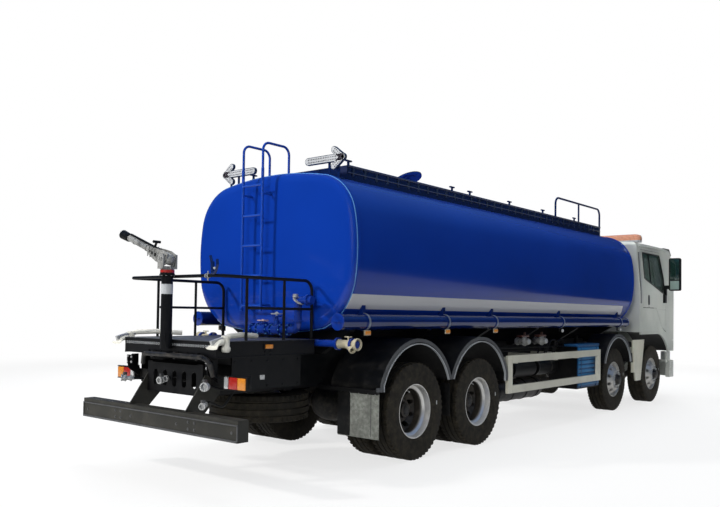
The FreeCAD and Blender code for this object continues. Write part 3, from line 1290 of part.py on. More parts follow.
def water_cannon():
    """Swivelling fork on the pillar, and the barrel that tilts in it."""
    base = "rail_level + 20 + fit_gap"
    x = "0 - pillar_side"
    turret = rod("turret", "62", "50", (x, "cannon_place", base))
    stem = rod("cannon_stem", "44", "30", (x, "cannon_place", f"{base} + 45"))
    wide = (f"{x} - 42", f"{x} + 42")
    bed = block("cannon_bed", wide, ("cannon_place - 84", "cannon_place + 84"), (f"{base} + 50", f"{base} + 68"))
    cheeks = [
        block(f"cannon_cheek_{name}", wide, (f"cannon_place + {low}", f"cannon_place + {low} + 18"),
              (f"{base} + 60", "cannon_level + 38"))
        for name, low in (("rear", "66"), ("front", "-84"))
    ]
    bore = rod("cannon_bore", "16 + run_gap", "200", (x, "cannon_place - 100", "cannon_level"), "Y")
    node("cannon_head", cut("cannon_fork", fuse("cannon_lower", [turret, stem, bed] + cheeks), bore))
    gun = new_body("barrel_turned")
    outline = [
        ("-62", "0"), ("-62", "30"), ("-44", "54"), ("38", "54"), ("75", "34"), ("670", "34"), ("800", "48"),
        ("800", "0"),
    ]
    revolve(gun, draw(sketch(gun, "XZ_Plane"), outline), "X_Axis")
    pin = rod("barrel_pin", "16", "176", (0, "-88", 0), "Y")
    barrel = fuse("cannon_upper", [gun, pin])
    place(barrel, x, "cannon_place", "cannon_level", ((0, 1, 0), -20))
    node("cannon_barrel", barrel)


def pump_pipes():
    """Water main under the tank's rear with an outlet on each side, and the valved pipe behind the tank."""
    level, x = "1290", "-200"
    pieces = [
        rod("main_pipe", "50", "outlet_place - (tank_end - 1300)", (x, "tank_end - 1300", "1090"), "Y"),
        rod("rise_pipe", "44", "tank_base + 20 - 1090", (x, "outlet_place", "1090")),
        rod("main_end", "50", "60", (x, "outlet_place - 30", "1090"), "Y"),
        rod("outlet_pipe", "outlet_radius", "2 * 1232", ("-1232", "outlet_place", level), "X"),
        rod("outlet_flange", "62", "24", ("-1182", "outlet_place", level), "X"),
        rod("outlet_flange_left", "62", "24", ("1158", "outlet_place", level), "X"),
    ]
    hollow = cross_plate("pipe_cutter", tank_outline("(band_rise + fit_gap)"), ("tank_front - 50", "tank_end + 50"))
    under = cut("pipes_fitted", fuse("pipes", pieces), hollow)
    return node("pump_pipes", group("all_pipes", [under, rear_pipe()]))


def rear_pipe():
    """Pipe that comes up through the platform, crosses behind the tank and rises to a hose end, with two valves."""
    y, level, high = "pipe_place", "pipe_level", "pipe_level + 310"
    left, right, end = "180", "-610", "-810"
    pieces = [
        rod("stub_flange", "pipe_radius + 32", "14", (left, y, "deck_top + fit_gap")),
        rod("stub", "pipe_radius", "pipe_level - pipe_bend - deck_top - fit_gap", (left, y, "deck_top + fit_gap")),
        elbow("stub_bend", "pipe_radius", "pipe_bend", (left, y, level), (0, 0, 1), (-1, 0, 0)),
        rod("crossing", "pipe_radius", f"{left} - ({right}) - 2 * pipe_bend", (f"{right} + pipe_bend", y, level), "X"),
        elbow("riser_bend", "pipe_radius", "pipe_bend", (right, y, level), (-1, 0, 0), (0, 0, 1)),
        rod("riser", "pipe_radius", f"{high} - ({level}) - 2 * pipe_bend", (right, y, f"{level} + pipe_bend")),
        elbow("end_bend", "pipe_radius", "pipe_bend", (right, y, high), (0, 0, 1), (-1, 0, 0)),
        rod("hose_end", "pipe_radius", f"{right} - pipe_bend - ({end})", (end, y, high), "X"),
        rod("hose_collar", "pipe_radius + 18", "22", (f"{end} + 45", y, high), "X"),
    ]
    for index, (where, rise) in enumerate((("-90", "70"), ("-300", "140"))):
        pieces.append(rod(f"valve_neck_{index}", "20", rise, (where, y, level)))
        pieces.append(rod(f"valve_body_{index}", "pipe_radius + 14", "90", (f"{where} - 45", y, level), "X"))
        pieces.append(rod(f"valve_wheel_{index}", "52", "12", (where, y, f"{level} + {rise} - 6")))
    return fuse("rear_pipe_whole", pieces)


def spray_nozzles():
    """Flat fan nozzles at the platform's rear corners."""
    neck = rod("nozzle_neck", "30", "120", ("deck_half + 30", "deck_rear - 90", "deck_top - 90"))
    arm = rod("nozzle_arm", "26", "60", ("deck_half + fit_gap", "deck_rear - 90", "deck_top - 70"), "X")
    fan = side_plate("nozzle_fan", [
        ("deck_rear - 90", "deck_top + 20"), ("deck_rear + 60", "deck_top - 60"), ("deck_rear + 90", "deck_top + 10"),
        ("deck_rear - 90", "deck_top + 60"),
    ], ("deck_half + 15", "deck_half + 45"))
    return node("spray_nozzles", pair("nozzles", fuse("nozzle_left", [neck, arm, fan])))


# ---------------------------------------------------------------- build

BUILDERS = (
    chassis_frame, tank_cradle, water_tank, manhole_lid, roof_coaming, rear_ladder, arrow_lamps, side_tubes,
    side_guards, mudguards, mud_flaps, front_bumper, rear_bumper, road_lamps,
    work_platform, platform_rails, water_cannon, pump_pipes, spray_nozzles, filter_box, fuel_tank, air_tanks,
    steer_axles, drive_axles, leaf_springs, driveline, spare_wheel, cab, cab_fittings, mirrors, wheels,
)


def check_all():
    """Stop on any failed object or bad shape."""
    for thing in doc.Objects:
        if "Invalid" in thing.State or "Error" in thing.State:
            raise RuntimeError(f"{thing.Name} ({thing.Label}) failed: {thing.State}")
    for thing in NODES:
        if thing.Shape.isNull() or not thing.Shape.isValid():
            raise RuntimeError(f"{thing.Label} has no valid shape")


def main():
    fill_sheet()
    for builder in BUILDERS:
        builder()
    doc.recompute()
    check_all()
    os.makedirs("parts", exist_ok=True)
    for thing in NODES:
        thing.Shape.exportStep(f"parts/{thing.Label}.step")
    print(len(NODES), "sub-parts written")


main()
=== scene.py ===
import json
import math

import bmesh
import bpy
from mathutils import Matrix, Vector


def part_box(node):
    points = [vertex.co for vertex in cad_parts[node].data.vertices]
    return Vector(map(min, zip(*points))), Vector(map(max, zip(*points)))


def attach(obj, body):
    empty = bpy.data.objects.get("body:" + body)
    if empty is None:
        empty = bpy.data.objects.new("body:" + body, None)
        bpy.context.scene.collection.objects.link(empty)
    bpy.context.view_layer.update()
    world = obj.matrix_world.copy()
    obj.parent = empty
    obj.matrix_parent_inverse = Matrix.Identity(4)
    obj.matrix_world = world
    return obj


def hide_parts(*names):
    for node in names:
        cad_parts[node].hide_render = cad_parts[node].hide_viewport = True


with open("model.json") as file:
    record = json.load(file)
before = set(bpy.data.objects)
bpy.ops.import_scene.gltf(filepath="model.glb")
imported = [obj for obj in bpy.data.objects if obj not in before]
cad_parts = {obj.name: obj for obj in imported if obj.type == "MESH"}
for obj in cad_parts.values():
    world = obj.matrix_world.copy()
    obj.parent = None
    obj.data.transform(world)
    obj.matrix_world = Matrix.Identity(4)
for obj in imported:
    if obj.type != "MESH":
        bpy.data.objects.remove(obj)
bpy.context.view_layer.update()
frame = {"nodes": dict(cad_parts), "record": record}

bl_info = {
    "name": "Eight-Wheel Water Tanker",
    "version": (1, 0, 0),
    "blender": (4, 5, 0),
    "location": "View3D > Sidebar > Tanker",
    "description": "Finishes and fine detail round the packed model of a water tanker lorry",
    "category": "Object",
}

BODIES = frame["record"]["behaviour"]["bodies"]
BODY_OF = {node: body for body, nodes in BODIES.items() for node in nodes}
CAD_SLOT = {part["node"]: part["material_slot"] for part in frame["record"]["subparts"]}
X, Y, Z = Vector((1, 0, 0)), Vector((0, 1, 0)), Vector((0, 0, 1))

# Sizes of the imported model, in metres. Distances named face and middle run from the lorry's middle plane.
TANK_HEIGHT = 1.735  # over the bare skin
BAND_RISE = 0.009  # of the weld bands over the skin
HEAD_DEPTH = 0.058
TYRE_RADIUS, TYRE_HALF, BEAD_RADIUS = 0.535, 0.148, 0.2865
STEERED_FACE, STEERED_MIDDLE = 1.175, 1.0  # wheel disc and tyre of the single wheels
DRIVEN_FACE, DRIVEN_MIDDLE = 0.928, 1.090  # disc and tyre of the outer twin
RIM_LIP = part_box("rims_3_left")[1].x - 0.012
CANNON_LIFT = math.radians(20.0)  # barrel over the level at rest
LID_TURN = math.radians(157.0)  # open lid at rest
CAB_HALF, CAB_SILL = 1.245, 2.06  # half width of the cab, and the level where its sides start to lean in
CAB_LEAN = 0.0767  # inwards for each metre of height


# ------------------------------------------------------------------ shader maths

class Value:
    """A shader value that takes part in Python sums."""

    def __init__(self, board, socket):
        self.board = board
        self.socket = socket

    def __add__(self, other):
        return self.board.sums("ADD", self, other)

    def __sub__(self, other):
        return self.board.sums("SUBTRACT", self, other)

    def __rsub__(self, other):
        return self.board.sums("SUBTRACT", other, self)

    def __mul__(self, other):
        return self.board.sums("MULTIPLY", self, other)

    def __truediv__(self, other):
        return self.board.sums("DIVIDE", self, other)

    def __gt__(self, other):
        return self.board.sums("GREATER_THAN", self, other)

    def __lt__(self, other):
        return self.board.sums("LESS_THAN", self, other)

    __radd__ = __add__
    __rmul__ = __mul__

    def lowest(self, other):
        return self.board.sums("MINIMUM", self, other)

    def highest(self, other):
        return self.board.sums("MAXIMUM", self, other)

    def size(self):
        return self.board.sums("ABSOLUTE", self)

    def step(self, low, high):
        """0 below low, 1 above high, smooth between."""
        made = self.board.node("ShaderNodeMapRange", {"interpolation_type": "SMOOTHSTEP"}, {
            "Value": self, "From Min": low, "From Max": high, "To Min": 0.0, "To Max": 1.0})
        return Value(self.board, made.outputs["Result"])


class Wiring:
    """Makes and links the nodes of one tree."""

    def __init__(self, tree):
        self.tree = tree

    def node(self, kind, settings=None, inputs=None):
        made = self.tree.nodes.new(kind)
        for field, value in (settings or {}).items():
            setattr(made, field, value)
        for key, value in (inputs or {}).items():
            self.feed(made.inputs[key], value)
        return made

    def feed(self, socket, value):
        if isinstance(value, Value):
            value = value.socket
        if isinstance(value, bpy.types.NodeSocket):
            self.tree.links.new(value, socket)
        elif isinstance(value, (tuple, list, Vector)) and len(value) == 3 and socket.type == "RGBA":
            socket.default_value = (*value, 1.0)
        else:
            socket.default_value = value

    def sums(self, operation, *terms):
        made = self.node("ShaderNodeMath", {"operation": operation}, dict(enumerate(terms)))
        return Value(self, made.outputs[0])

    def ray(self, kind):
        """1 for rays of a kind, such as Camera or Glossy, and 0 for the rest."""
        return Value(self, self.node("ShaderNodeLightPath").outputs[f"Is {kind} Ray"])


class Board(Wiring):
    """The nodes of one material, with the object's own coordinates at hand."""

    def __init__(self, name="finish"):
        self.material = bpy.data.materials.new(name)
        self.material.use_nodes = True
        super().__init__(self.material.node_tree)
        self.tree.nodes.clear()
        self.out = self.node("ShaderNodeOutputMaterial")
        self.place = self.node("ShaderNodeTexCoord").outputs["Object"]
        axes = self.node("ShaderNodeSeparateXYZ", {}, {"Vector": self.place}).outputs
        self.x, self.y, self.z = (Value(self, axes[name]) for name in "XYZ")

    def mix(self, factor, first, second):
        made = self.node("ShaderNodeMix", {"data_type": "RGBA"}, {0: factor, 6: first, 7: second})
        return made.outputs[2]

    def stretched(self, scale):
        made = self.node("ShaderNodeMapping", {}, {"Vector": self.place, "Scale": scale})
        return made.outputs[0]

    def noise(self, scale, detail=3.0, rough=0.55, stretch=None):
        place = self.stretched(stretch) if stretch else self.place
        made = self.node("ShaderNodeTexNoise", {}, {
            "Vector": place, "Scale": scale, "Detail": detail, "Roughness": rough})
        return Value(self, made.outputs["Fac"])

    def cells(self, scale, feature="F1", stretch=None):
        place = self.stretched(stretch) if stretch else self.place
        made = self.node("ShaderNodeTexVoronoi", {"feature": feature}, {"Vector": place, "Scale": scale})
        return Value(self, made.outputs["Distance"])

    def bump(self, height, strength, distance=0.002):
        made = self.node("ShaderNodeBump", {}, {"Height": height, "Strength": strength, "Distance": distance})
        return made.outputs["Normal"]

    def facing_up(self):
        """1 on level tops, 0 on upright walls and undersides."""
        normal = self.node("ShaderNodeNewGeometry").outputs["Normal"]
        axes = self.node("ShaderNodeSeparateXYZ", {}, {"Vector": normal}).outputs
        return Value(self, axes["Z"]).step(0.3, 0.9)

    def finish(self, **sockets):
        """Principled surface; keywords are its sockets in lower case with underscores."""
        names = {"base": "Base Color", "ior": "IOR", "coat": "Coat Weight", "glow": "Emission Color",
                 "glow_strength": "Emission Strength", "transmission": "Transmission Weight",
                 "sheen": "Sheen Weight"}
        inputs = {names.get(key, key.replace("_", " ").title()): value for key, value in sockets.items()}
        return self.surface(self.node("ShaderNodeBsdfPrincipled", {}, inputs))

    def surface(self, shader):
        self.feed(self.out.inputs["Surface"], shader.outputs[0])
        return self.material


# ------------------------------------------------------------------ finishes

def shaded(colour, share):
    """A colour made darker or lighter by a share."""
    return tuple(min(part * share, 1.0) for part in colour)


def enamel(colour, rough=0.22, dust=0.25, dusty=(0.20, 0.18, 0.15), peel=0.04, coat=0.6, ior=1.5):
    """Sprayed paint: slight shade drift, orange peel, and road dust that thickens near the ground."""
    b = Board()
    drift = b.noise(0.9, 4.0)
    grime = b.noise(7.0, 6.0, 0.65)
    low = 1.0 - b.z.step(0.35, 1.7)
    film = (grime.step(0.42, 0.75) * (low * 0.8 + 0.12) + b.facing_up() * 0.2) * dust
    paint = b.mix(drift.step(0.35, 0.65), shaded(colour, 0.82), colour)
    return b.finish(base=b.mix(film, paint, dusty), roughness=film * 0.5 + (grime * 0.06 + rough),
                    coat=coat, coat_roughness=0.06, ior=ior, normal=b.bump(b.noise(120.0, 2.0), peel, 0.0006))


def tank_enamel(colour, stripe_colour):
    """Deep gloss blue with one pale band along each lower side, cut off slanting at the front."""
    b = Board()
    low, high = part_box("water_tank")
    drift = b.noise(0.6, 3.0)
    streak = b.noise(5.0, 5.0, 0.6, (1.0, 0.25, 3.0))
    side = b.x.size().step(0.95, 0.97)
    band = (b.z > low.z + 0.276) * (b.z < low.z + 0.428)
    slant = (b.y - (b.z - low.z) * 0.9) > low.y + 0.02
    body = (b.y > low.y + 0.065) * (b.y < high.y - 0.06)
    stripe = side * band * slant * body
    paint = b.mix(drift.step(0.3, 0.7), shaded(colour, 0.86), colour)
    striped = b.mix(stripe, paint, stripe_colour)
    film = (streak.step(0.5, 0.8) * (1.0 - b.z.step(low.z, low.z + 0.7)) * 0.18 + b.facing_up() * 0.04)
    return b.finish(base=b.mix(film, striped, (0.22, 0.21, 0.20)),
                    roughness=film * 0.4 + (streak * 0.05 + 0.13), coat=0.25, coat_roughness=0.03, ior=1.42,
                    normal=b.bump(b.noise(2.2, 1.0), 0.12, 0.0025))


def moulded(colour, rough=0.55, grain=0.25, dust=0.3):
    """Moulded plastic with a fine pebble grain and grey dust."""
    b = Board()
    fade = b.noise(2.3, 4.0)
    film = b.noise(9.0, 6.0, 0.7).step(0.45, 0.8) * dust * (1.25 - b.z.step(0.3, 2.2))
    shade = b.mix(fade.step(0.3, 0.7), shaded(colour, 0.75), colour)
    return b.finish(base=b.mix(film, shade, (0.26, 0.24, 0.21)), roughness=film * 0.3 + rough, ior=1.4,
                    normal=b.bump(b.cells(900.0), grain, 0.0004))


def rubber(colour, dust=0.35):
    """Tyre rubber: near black, dusty, with a fine bumpy grain."""
    b = Board()
    film = b.noise(14.0, 6.0, 0.7).step(0.35, 0.8) * dust
    shade = b.mix(b.noise(3.0).step(0.3, 0.7), shaded(colour, 0.7), colour)
    return b.finish(base=b.mix(film, shade, (0.17, 0.14, 0.09)), roughness=film * 0.15 + 0.72, ior=1.35,
                    normal=b.bump(b.noise(260.0, 3.0), 0.35, 0.0008))


def flap_rubber(colour):
    """Grey flap rubber, blotched with dried mud, on a black hanger bar above 0.77 m."""
    b = Board()
    blotch = b.noise(22.0, 6.0, 0.7).step(0.36, 0.66)
    stain = b.noise(5.0, 4.0, 0.6, (1.0, 1.0, 0.35)).step(0.42, 0.7) * 0.6
    shade = b.mix(blotch, shaded(colour, 0.62), shaded(colour, 1.18))
    shade = b.mix(stain, shade, shaded(colour, 0.45))
    hanger = b.z.step(0.766, 0.769)
    return b.finish(base=b.mix(hanger, shade, (0.006, 0.006, 0.006)), roughness=0.72 - hanger * 0.25,
                    normal=b.bump(blotch, 0.3, 0.0010))


def bare_metal(colour, rough=0.32, dull=0.25, metallic=0.55):
    """Bright metal with brushed streaks and stained patches."""
    b = Board()
    stain = b.noise(11.0, 5.0, 0.65).step(0.45, 0.75) * dull
    streaks = b.noise(60.0, 3.0, 0.6, (1.0, 1.0, 14.0))
    return b.finish(base=b.mix(stain, colour, shaded(colour, 0.38)), metallic=metallic,
                    roughness=stain * 0.35 + (streaks * 0.12 + rough), normal=b.bump(streaks, 0.12, 0.0005))


def twin_rim(colour, shade, lip):
    """Rim steel, lit pale at the lip by a painted highlight, and dark brown down in its dish by painted shade
    over stains.
    """
    b = Board()
    stain = b.noise(9.0, 5.0, 0.65).step(0.35, 0.75)
    # Painted highlight: full at the lip, fading out deeper in the dish.
    bright = b.x.size().step(lip - 0.105, lip - 0.055)
    # The dish's dark brown is painted shade laid over brown stains.
    dish_shade_and_dirt = b.mix(stain, shade, shaded(shade, 1.9))
    return b.finish(base=b.mix(bright, dish_shade_and_dirt, b.mix(stain * 0.3, colour, shaded(colour, 0.5))),
                    metallic=bright * 0.35 + 0.35, roughness=0.52 - bright * 0.22,
                    normal=b.bump(stain, 0.10, 0.0006))


def cast(colour, rough=0.6):
    """Rough casting with oily dark patches and dust."""
    b = Board()
    pits = b.noise(150.0, 5.0, 0.7)
    oil = b.noise(6.0, 5.0).step(0.45, 0.7)
    film = b.noise(13.0, 6.0, 0.7).step(0.4, 0.8) * 0.4
    shade = b.mix(oil, colour, shaded(colour, 0.35))
    return b.finish(base=b.mix(film, shade, (0.2, 0.17, 0.13)), metallic=0.35,
                    roughness=film * 0.25 + (rough - oil * 0.18), normal=b.bump(pits, 0.5, 0.0012))


def glazing(colour, alpha):
    """Green-tinted safety glass with a little dust in patches."""
    b = Board()
    film = b.noise(5.0, 5.0, 0.7).step(0.5, 0.85)
    return b.finish(base=b.mix(film, colour, (0.45, 0.5, 0.47)), roughness=film * 0.25 + 0.03,
                    alpha=film * 0.2 + alpha, coat=1.0, coat_roughness=0.02)


def lens(colour, ribs=260.0, glow=0.25):
    """Ribbed coloured lamp lens."""
    b = Board()
    ridges = b.cells(ribs)
    shade = b.mix(ridges.step(0.1, 0.6), colour, shaded(colour, 0.55))
    return b.finish(base=shade, roughness=ridges * 0.2 + 0.08, coat=1.0, glow=shade, glow_strength=glow,
                    normal=b.bump(ridges, 0.5, 0.001))


def cloth(colour):
    """Woven seat cover."""
    b = Board()
    weave = b.noise(420.0, 2.0, 0.5, (1.0, 3.0, 1.0)) * b.noise(420.0, 2.0, 0.5, (3.0, 1.0, 1.0))
    shade = b.mix(weave.step(0.1, 0.4), shaded(colour, 0.55), colour)
    return b.finish(base=shade, roughness=weave * 0.2 + 0.75, sheen=0.3, normal=b.bump(weave, 0.6, 0.001))


def deck_plate(colour):
    """Trodden chequer plate of the platform and walkway."""
    b = Board()
    one = b.cells(26.0, stretch=(1.0, 2.2, 1.0))
    wear = b.noise(6.0, 5.0, 0.7).step(0.35, 0.75)
    tears = 1.0 - one.step(0.12, 0.3)
    shade = b.mix(wear * tears, colour, (0.42, 0.43, 0.43))
    return b.finish(base=b.mix(wear * 0.5, shade, (0.28, 0.28, 0.27)), metallic=wear * 0.4,
                    roughness=wear * 0.2 + 0.4, normal=b.bump(tears, 0.8, 0.003))


FINISH = {}


def make_finishes(tone):
    """One material for each slot of the record and each extra finish of the small parts."""
    blue, stripe = tuple(tone.tank), tuple(tone.stripe)
    FINISH.update({
        "tank_paint": tank_enamel(blue, stripe),
        "pipe_paint": enamel(shaded(blue, 0.85), dust=0.2),
        "dark_blue_paint": enamel(tuple(tone.roof), dust=0.1),
        "tube_paint": enamel((0.002, 0.016, 0.13), rough=0.12, dust=0.06, coat=0.5),
        # Pale bright blue standing for a specular edge line: a painted highlight, used on the tank's head
        # beads and the pipe bolts.
        "bead_blue": enamel((0.12, 0.34, 0.72), rough=0.15, dust=0.0, coat=0.8),
        "ladder_paint": enamel((0.005, 0.055, 0.40), dust=0.1),
        "roof_rim": enamel((0.02, 0.035, 0.075), rough=0.4, dust=0.1, coat=0.2),
        "black_paint": enamel((0.0045, 0.0045, 0.005), rough=0.45, dust=0.10, dusty=(0.10, 0.09, 0.075),
                              coat=0.04, ior=1.36),
        "cab_paint": enamel(tuple(tone.cab), dust=0.10, dusty=(0.42, 0.39, 0.34)),
        "bar_paint": enamel((0.034, 0.033, 0.028), rough=0.5, dust=0.3, dusty=(0.13, 0.12, 0.10), coat=0.05,
                            ior=1.4),
        "cream_paint": enamel(tuple(tone.guard), rough=0.35, dust=0.2, dusty=(0.3, 0.27, 0.22)),
        "black_plastic": moulded((0.006, 0.006, 0.006), dust=0.08),
        "lip_plastic": moulded((0.09, 0.094, 0.10), 0.45, dust=0.15),
        "lip_bright": moulded((0.42, 0.44, 0.46), 0.4, dust=0.1),
        "tyre_rubber": rubber((0.019, 0.016, 0.011), 0.22),
        "flap_rubber": flap_rubber((0.34, 0.35, 0.31)),
        "rim_steel": bare_metal((0.66, 0.64, 0.60), 0.28, 0.45, 0.72),
        # The dark second colour is the painted shade of the twin rim's dish.
        "twin_rim_steel": twin_rim((0.88, 0.86, 0.82), (0.055, 0.047, 0.038), RIM_LIP),
        "cast_grey": cast((0.02, 0.019, 0.018)),
        "bare_metal": bare_metal((0.60, 0.60, 0.59)),
        "strap_steel": bare_metal((0.26, 0.30, 0.38), 0.35),
        "aluminium": bare_metal((0.58, 0.6, 0.61), 0.4),
        "gun_metal": cast((0.40, 0.40, 0.385), 0.42),
        "cab_glass": glazing((0.03, 0.07, 0.055), 0.6),
        "mirror_glass": glazing((0.012, 0.035, 0.028), 1.0),
        # Pale colour of the wide mirror: a painted reflection.
        "mirror_bright": glazing((0.30, 0.40, 0.36), 1.0),
        "lamp_plastic": lens((0.75, 0.76, 0.78), glow=0.05),
        "red_lens": lens((0.50, 0.02, 0.012), glow=0.12),
        "amber_plastic": lens((0.85, 0.30, 0.03), glow=0.15),
        "beacon_orange": lens((0.78, 0.36, 0.22), 60.0, 0.10),
        # Its faint glow also falls on the tyre marks, tube knobs, dials, blank plates, hose-rest stud and the
        # cannon's lip, which are no lamps: painted glow.
        "white_lens": lens((0.75, 0.76, 0.76), glow=0.04),
        "arrow_dots": lens((0.13, 0.11, 0.13), glow=0.02),
        "board_grey": moulded((0.60, 0.62, 0.64), 0.35, 0.1, 0.05),
        "seat_fabric": cloth((0.06, 0.06, 0.07)),
        "deck": deck_plate((0.05, 0.052, 0.055)),
        "worn_steel": bare_metal((0.16, 0.16, 0.16), 0.45, 0.4, 0.6),
        "brown_paint": enamel((0.10, 0.04, 0.025), rough=0.4, dust=0.2),
        "pink_paint": enamel((0.62, 0.42, 0.40), rough=0.35, dust=0.1),
        "red_paint": enamel((0.42, 0.02, 0.015), rough=0.35, dust=0.1),
        "hose_cream": moulded((0.52, 0.47, 0.34), 0.45, 0.12, 0.2),
        "nozzle_white": moulded((0.84, 0.82, 0.73), 0.45, 0.1, 0.12),
        "filter_blue": moulded((0.01, 0.08, 0.22), 0.4, 0.12, 0.15),
        # A brighter copy of the filter's blue for its ribs: a painted highlight where the ribs catch light.
        "filter_bright": moulded((0.03, 0.20, 0.46), 0.4, 0.12, 0.15),
        "hub_brown": cast((0.040, 0.033, 0.027), 0.45),
        "dark_metal": cast((0.028, 0.028, 0.029), 0.4),
    })
    for name, material in FINISH.items():
        material.name = name


# ------------------------------------------------------------------ making shapes

class Stock:
    """Collects the geometry of one piece; every corner is in metres in the model's frame."""

    def __init__(self):
        self.bm = bmesh.new()

    def rings(self, loops, closed=False, caps=True):
        """Skin over loops of equal length."""
        rows = [[self.bm.verts.new(p) for p in loop] for loop in loops]
        count = len(rows[0])
        pairs = list(zip(rows, rows[1:])) + ([(rows[-1], rows[0])] if closed else [])
        for first, second in pairs:
            for i in range(count):
                j = (i + 1) % count
                self.bm.faces.new((first[i], first[j], second[j], second[i]))
        if caps and not closed:
            self.bm.faces.new(rows[0][::-1])
            self.bm.faces.new(rows[-1])
        return self

    def block(self, low, high, bevel=0.0):
        """A box between two corners with its edges broken by a bevel."""
        low, high = Vector(low), Vector(high)
        middle, size = (low + high) / 2, high - low
        made = bmesh.ops.create_cube(self.bm, size=1.0,
                                     matrix=Matrix.Translation(middle) @ Matrix.Diagonal((*size, 1)))
        if bevel:
            edges = list({edge for vert in made["verts"] for edge in vert.link_edges})
            bmesh.ops.bevel(self.bm, geom=edges, offset=bevel, segments=2, affect="EDGES", profile=0.6)
        return self

    def rod(self, start, end, radius, sides=16):
        """A round bar between two points."""
        start, end = Vector(start), Vector(end)
        return self.lathe([(0.0, radius), (1.0, radius)], start, end - start, sides)

    def lathe(self, profile, start, run, sides=32, closed=False):
        """Turn (share of run, radius) pairs about the line from start along run."""
        run = Vector(run)
        side = run.orthogonal().normalized()
        up = run.cross(side).normalized()
        loops = []
        for share, radius in profile:
            centre = Vector(start) + run * share
            loops.append([centre + (side * math.cos(a) + up * math.sin(a)) * max(radius, 1e-4)
                          for a in round_angles(sides)])
        return self.rings(loops, closed)

    def ring(self, start, run, inner, outer, sides):
        """A flat ring or a sleeve, from start along run."""
        return self.lathe([(0, inner), (0, outer), (1, outer), (1, inner)], start, run, sides, closed=True)

    def pipe(self, points, radius, sides=12, bend=0.05, closed=False):
        """A round tube along a line of points whose corners are rounded to a bend radius."""
        path = rounded(points, bend, closed)
        count = len(path)
        loops, up = [], None
        for i, point in enumerate(path):
            before = path[i - 1] if i or closed else point
            after = path[(i + 1) % count] if i < count - 1 or closed else point
            ahead = (after - before).normalized()
            if up is None:
                up = ahead.orthogonal().normalized()
            up = (up - ahead * up.dot(ahead)).normalized()
            side = ahead.cross(up)
            loops.append([point + (up * math.cos(a) + side * math.sin(a)) * radius
                          for a in round_angles(sides)])
        return self.rings(loops, closed)

    def plate(self, outline, plane, start, thickness, bevel=0.0):
        """An outline in a plane named by its two axes, raised along the third."""
        def spot(u, v, w):
            return {"yz": (w, u, v), "xz": (u, w, v), "xy": (u, v, w)}[plane]

        low = [self.bm.verts.new(spot(u, v, start)) for u, v in outline]
        high = [self.bm.verts.new(spot(u, v, start + thickness)) for u, v in outline]
        count = len(outline)
        faces = [self.bm.faces.new(low[::-1]), self.bm.faces.new(high)]
        faces += [self.bm.faces.new((low[i], low[(i + 1) % count], high[(i + 1) % count], high[i]))
                  for i in range(count)]
        if bevel:
            edges = list({edge for face in faces[:2] for edge in face.edges})
            bmesh.ops.bevel(self.bm, geom=edges, offset=bevel, segments=2, affect="EDGES")
        return self

    def piece(self, name, finish, body="chassis", sharp=35.0, replaces=()):
        """Turn the collected geometry into a finished piece that rides on a body."""
        bmesh.ops.remove_doubles(self.bm, verts=self.bm.verts, dist=1e-6)
        bmesh.ops.recalc_face_normals(self.bm, faces=self.bm.faces)
        mesh = bpy.data.meshes.new(name)
        self.bm.to_mesh(mesh)
        self.bm.free()
        return settle(name, mesh, finish, body, sharp, replaces)


def settle(name, mesh, finish, body, sharp=35.0, replaces=()):
    """Put a mesh in the scene as a piece."""
    mesh.materials.clear()
    mesh.materials.append(FINISH[finish])
    mesh.shade_smooth()
    mesh.set_sharp_from_angle(angle=math.radians(sharp))
    piece = bpy.data.objects.new(name, mesh)
    bpy.context.scene.collection.objects.link(piece)
    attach(piece, body)
    if replaces:
        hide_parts(*replaces)
    return piece


def round_angles(count, start=0.0):
    """Even angles round a circle."""
    return [start + 2 * math.pi * index / count for index in range(count)]


def spokes(count, start=0.0):
    """Level unit vectors round the upright axis."""
    return [Vector((math.cos(a), math.sin(a), 0)) for a in round_angles(count, start)]


def sided(side, near, far):
    """Two distances from the middle plane as x on one side of the lorry, the lower first."""
    return sorted((side * near, side * far))


def rounded(points, radius, closed=False):
    """A line of points with each corner replaced by a short curve."""
    points = [Vector(p) for p in points]
    count = len(points)
    path = []
    for i, corner in enumerate(points):
        if not closed and i in (0, count - 1):
            path.append(corner)
            continue
        back, on = points[i - 1] - corner, points[(i + 1) % count] - corner
        angle = back.angle(on)
        if angle > math.pi - 0.02:
            path.append(corner)
            continue
        reach = min(radius / math.tan(angle / 2), back.length * 0.49, on.length * 0.49)
        start, end = corner + back.normalized() * reach, corner + on.normalized() * reach
        for step in range(7):
            t = step / 6
            path.append(start * (1 - t) ** 2 + corner * 2 * t * (1 - t) + end * t ** 2)
    return path


def arc(start, middle, end, steps):
    """Points on the circle through three (u, v) points, without the last."""
    (ax, ay), (bx, by), (cx, cy) = start, middle, end
    d = 2 * (ax * (by - cy) + bx * (cy - ay) + cx * (ay - by))
    a2, b2, c2 = ax * ax + ay * ay, bx * bx + by * by, cx * cx + cy * cy
    ux = (a2 * (by - cy) + b2 * (cy - ay) + c2 * (ay - by)) / d
    uy = (a2 * (cx - bx) + b2 * (ax - cx) + c2 * (bx - ax)) / d
    radius = math.hypot(ax - ux, ay - uy)
    first, mid, last = (math.atan2(v - uy, u - ux) for u, v in (start, middle, end))
    sweep = (last - first) % (2 * math.pi)
    if (mid - first) % (2 * math.pi) > sweep:
        sweep -= 2 * math.pi
    return [(ux + radius * math.cos(first + sweep * i / steps),
             uy + radius * math.sin(first + sweep * i / steps))
            for i in range(steps)]


# ------------------------------------------------------------------ repeats by Geometry Nodes

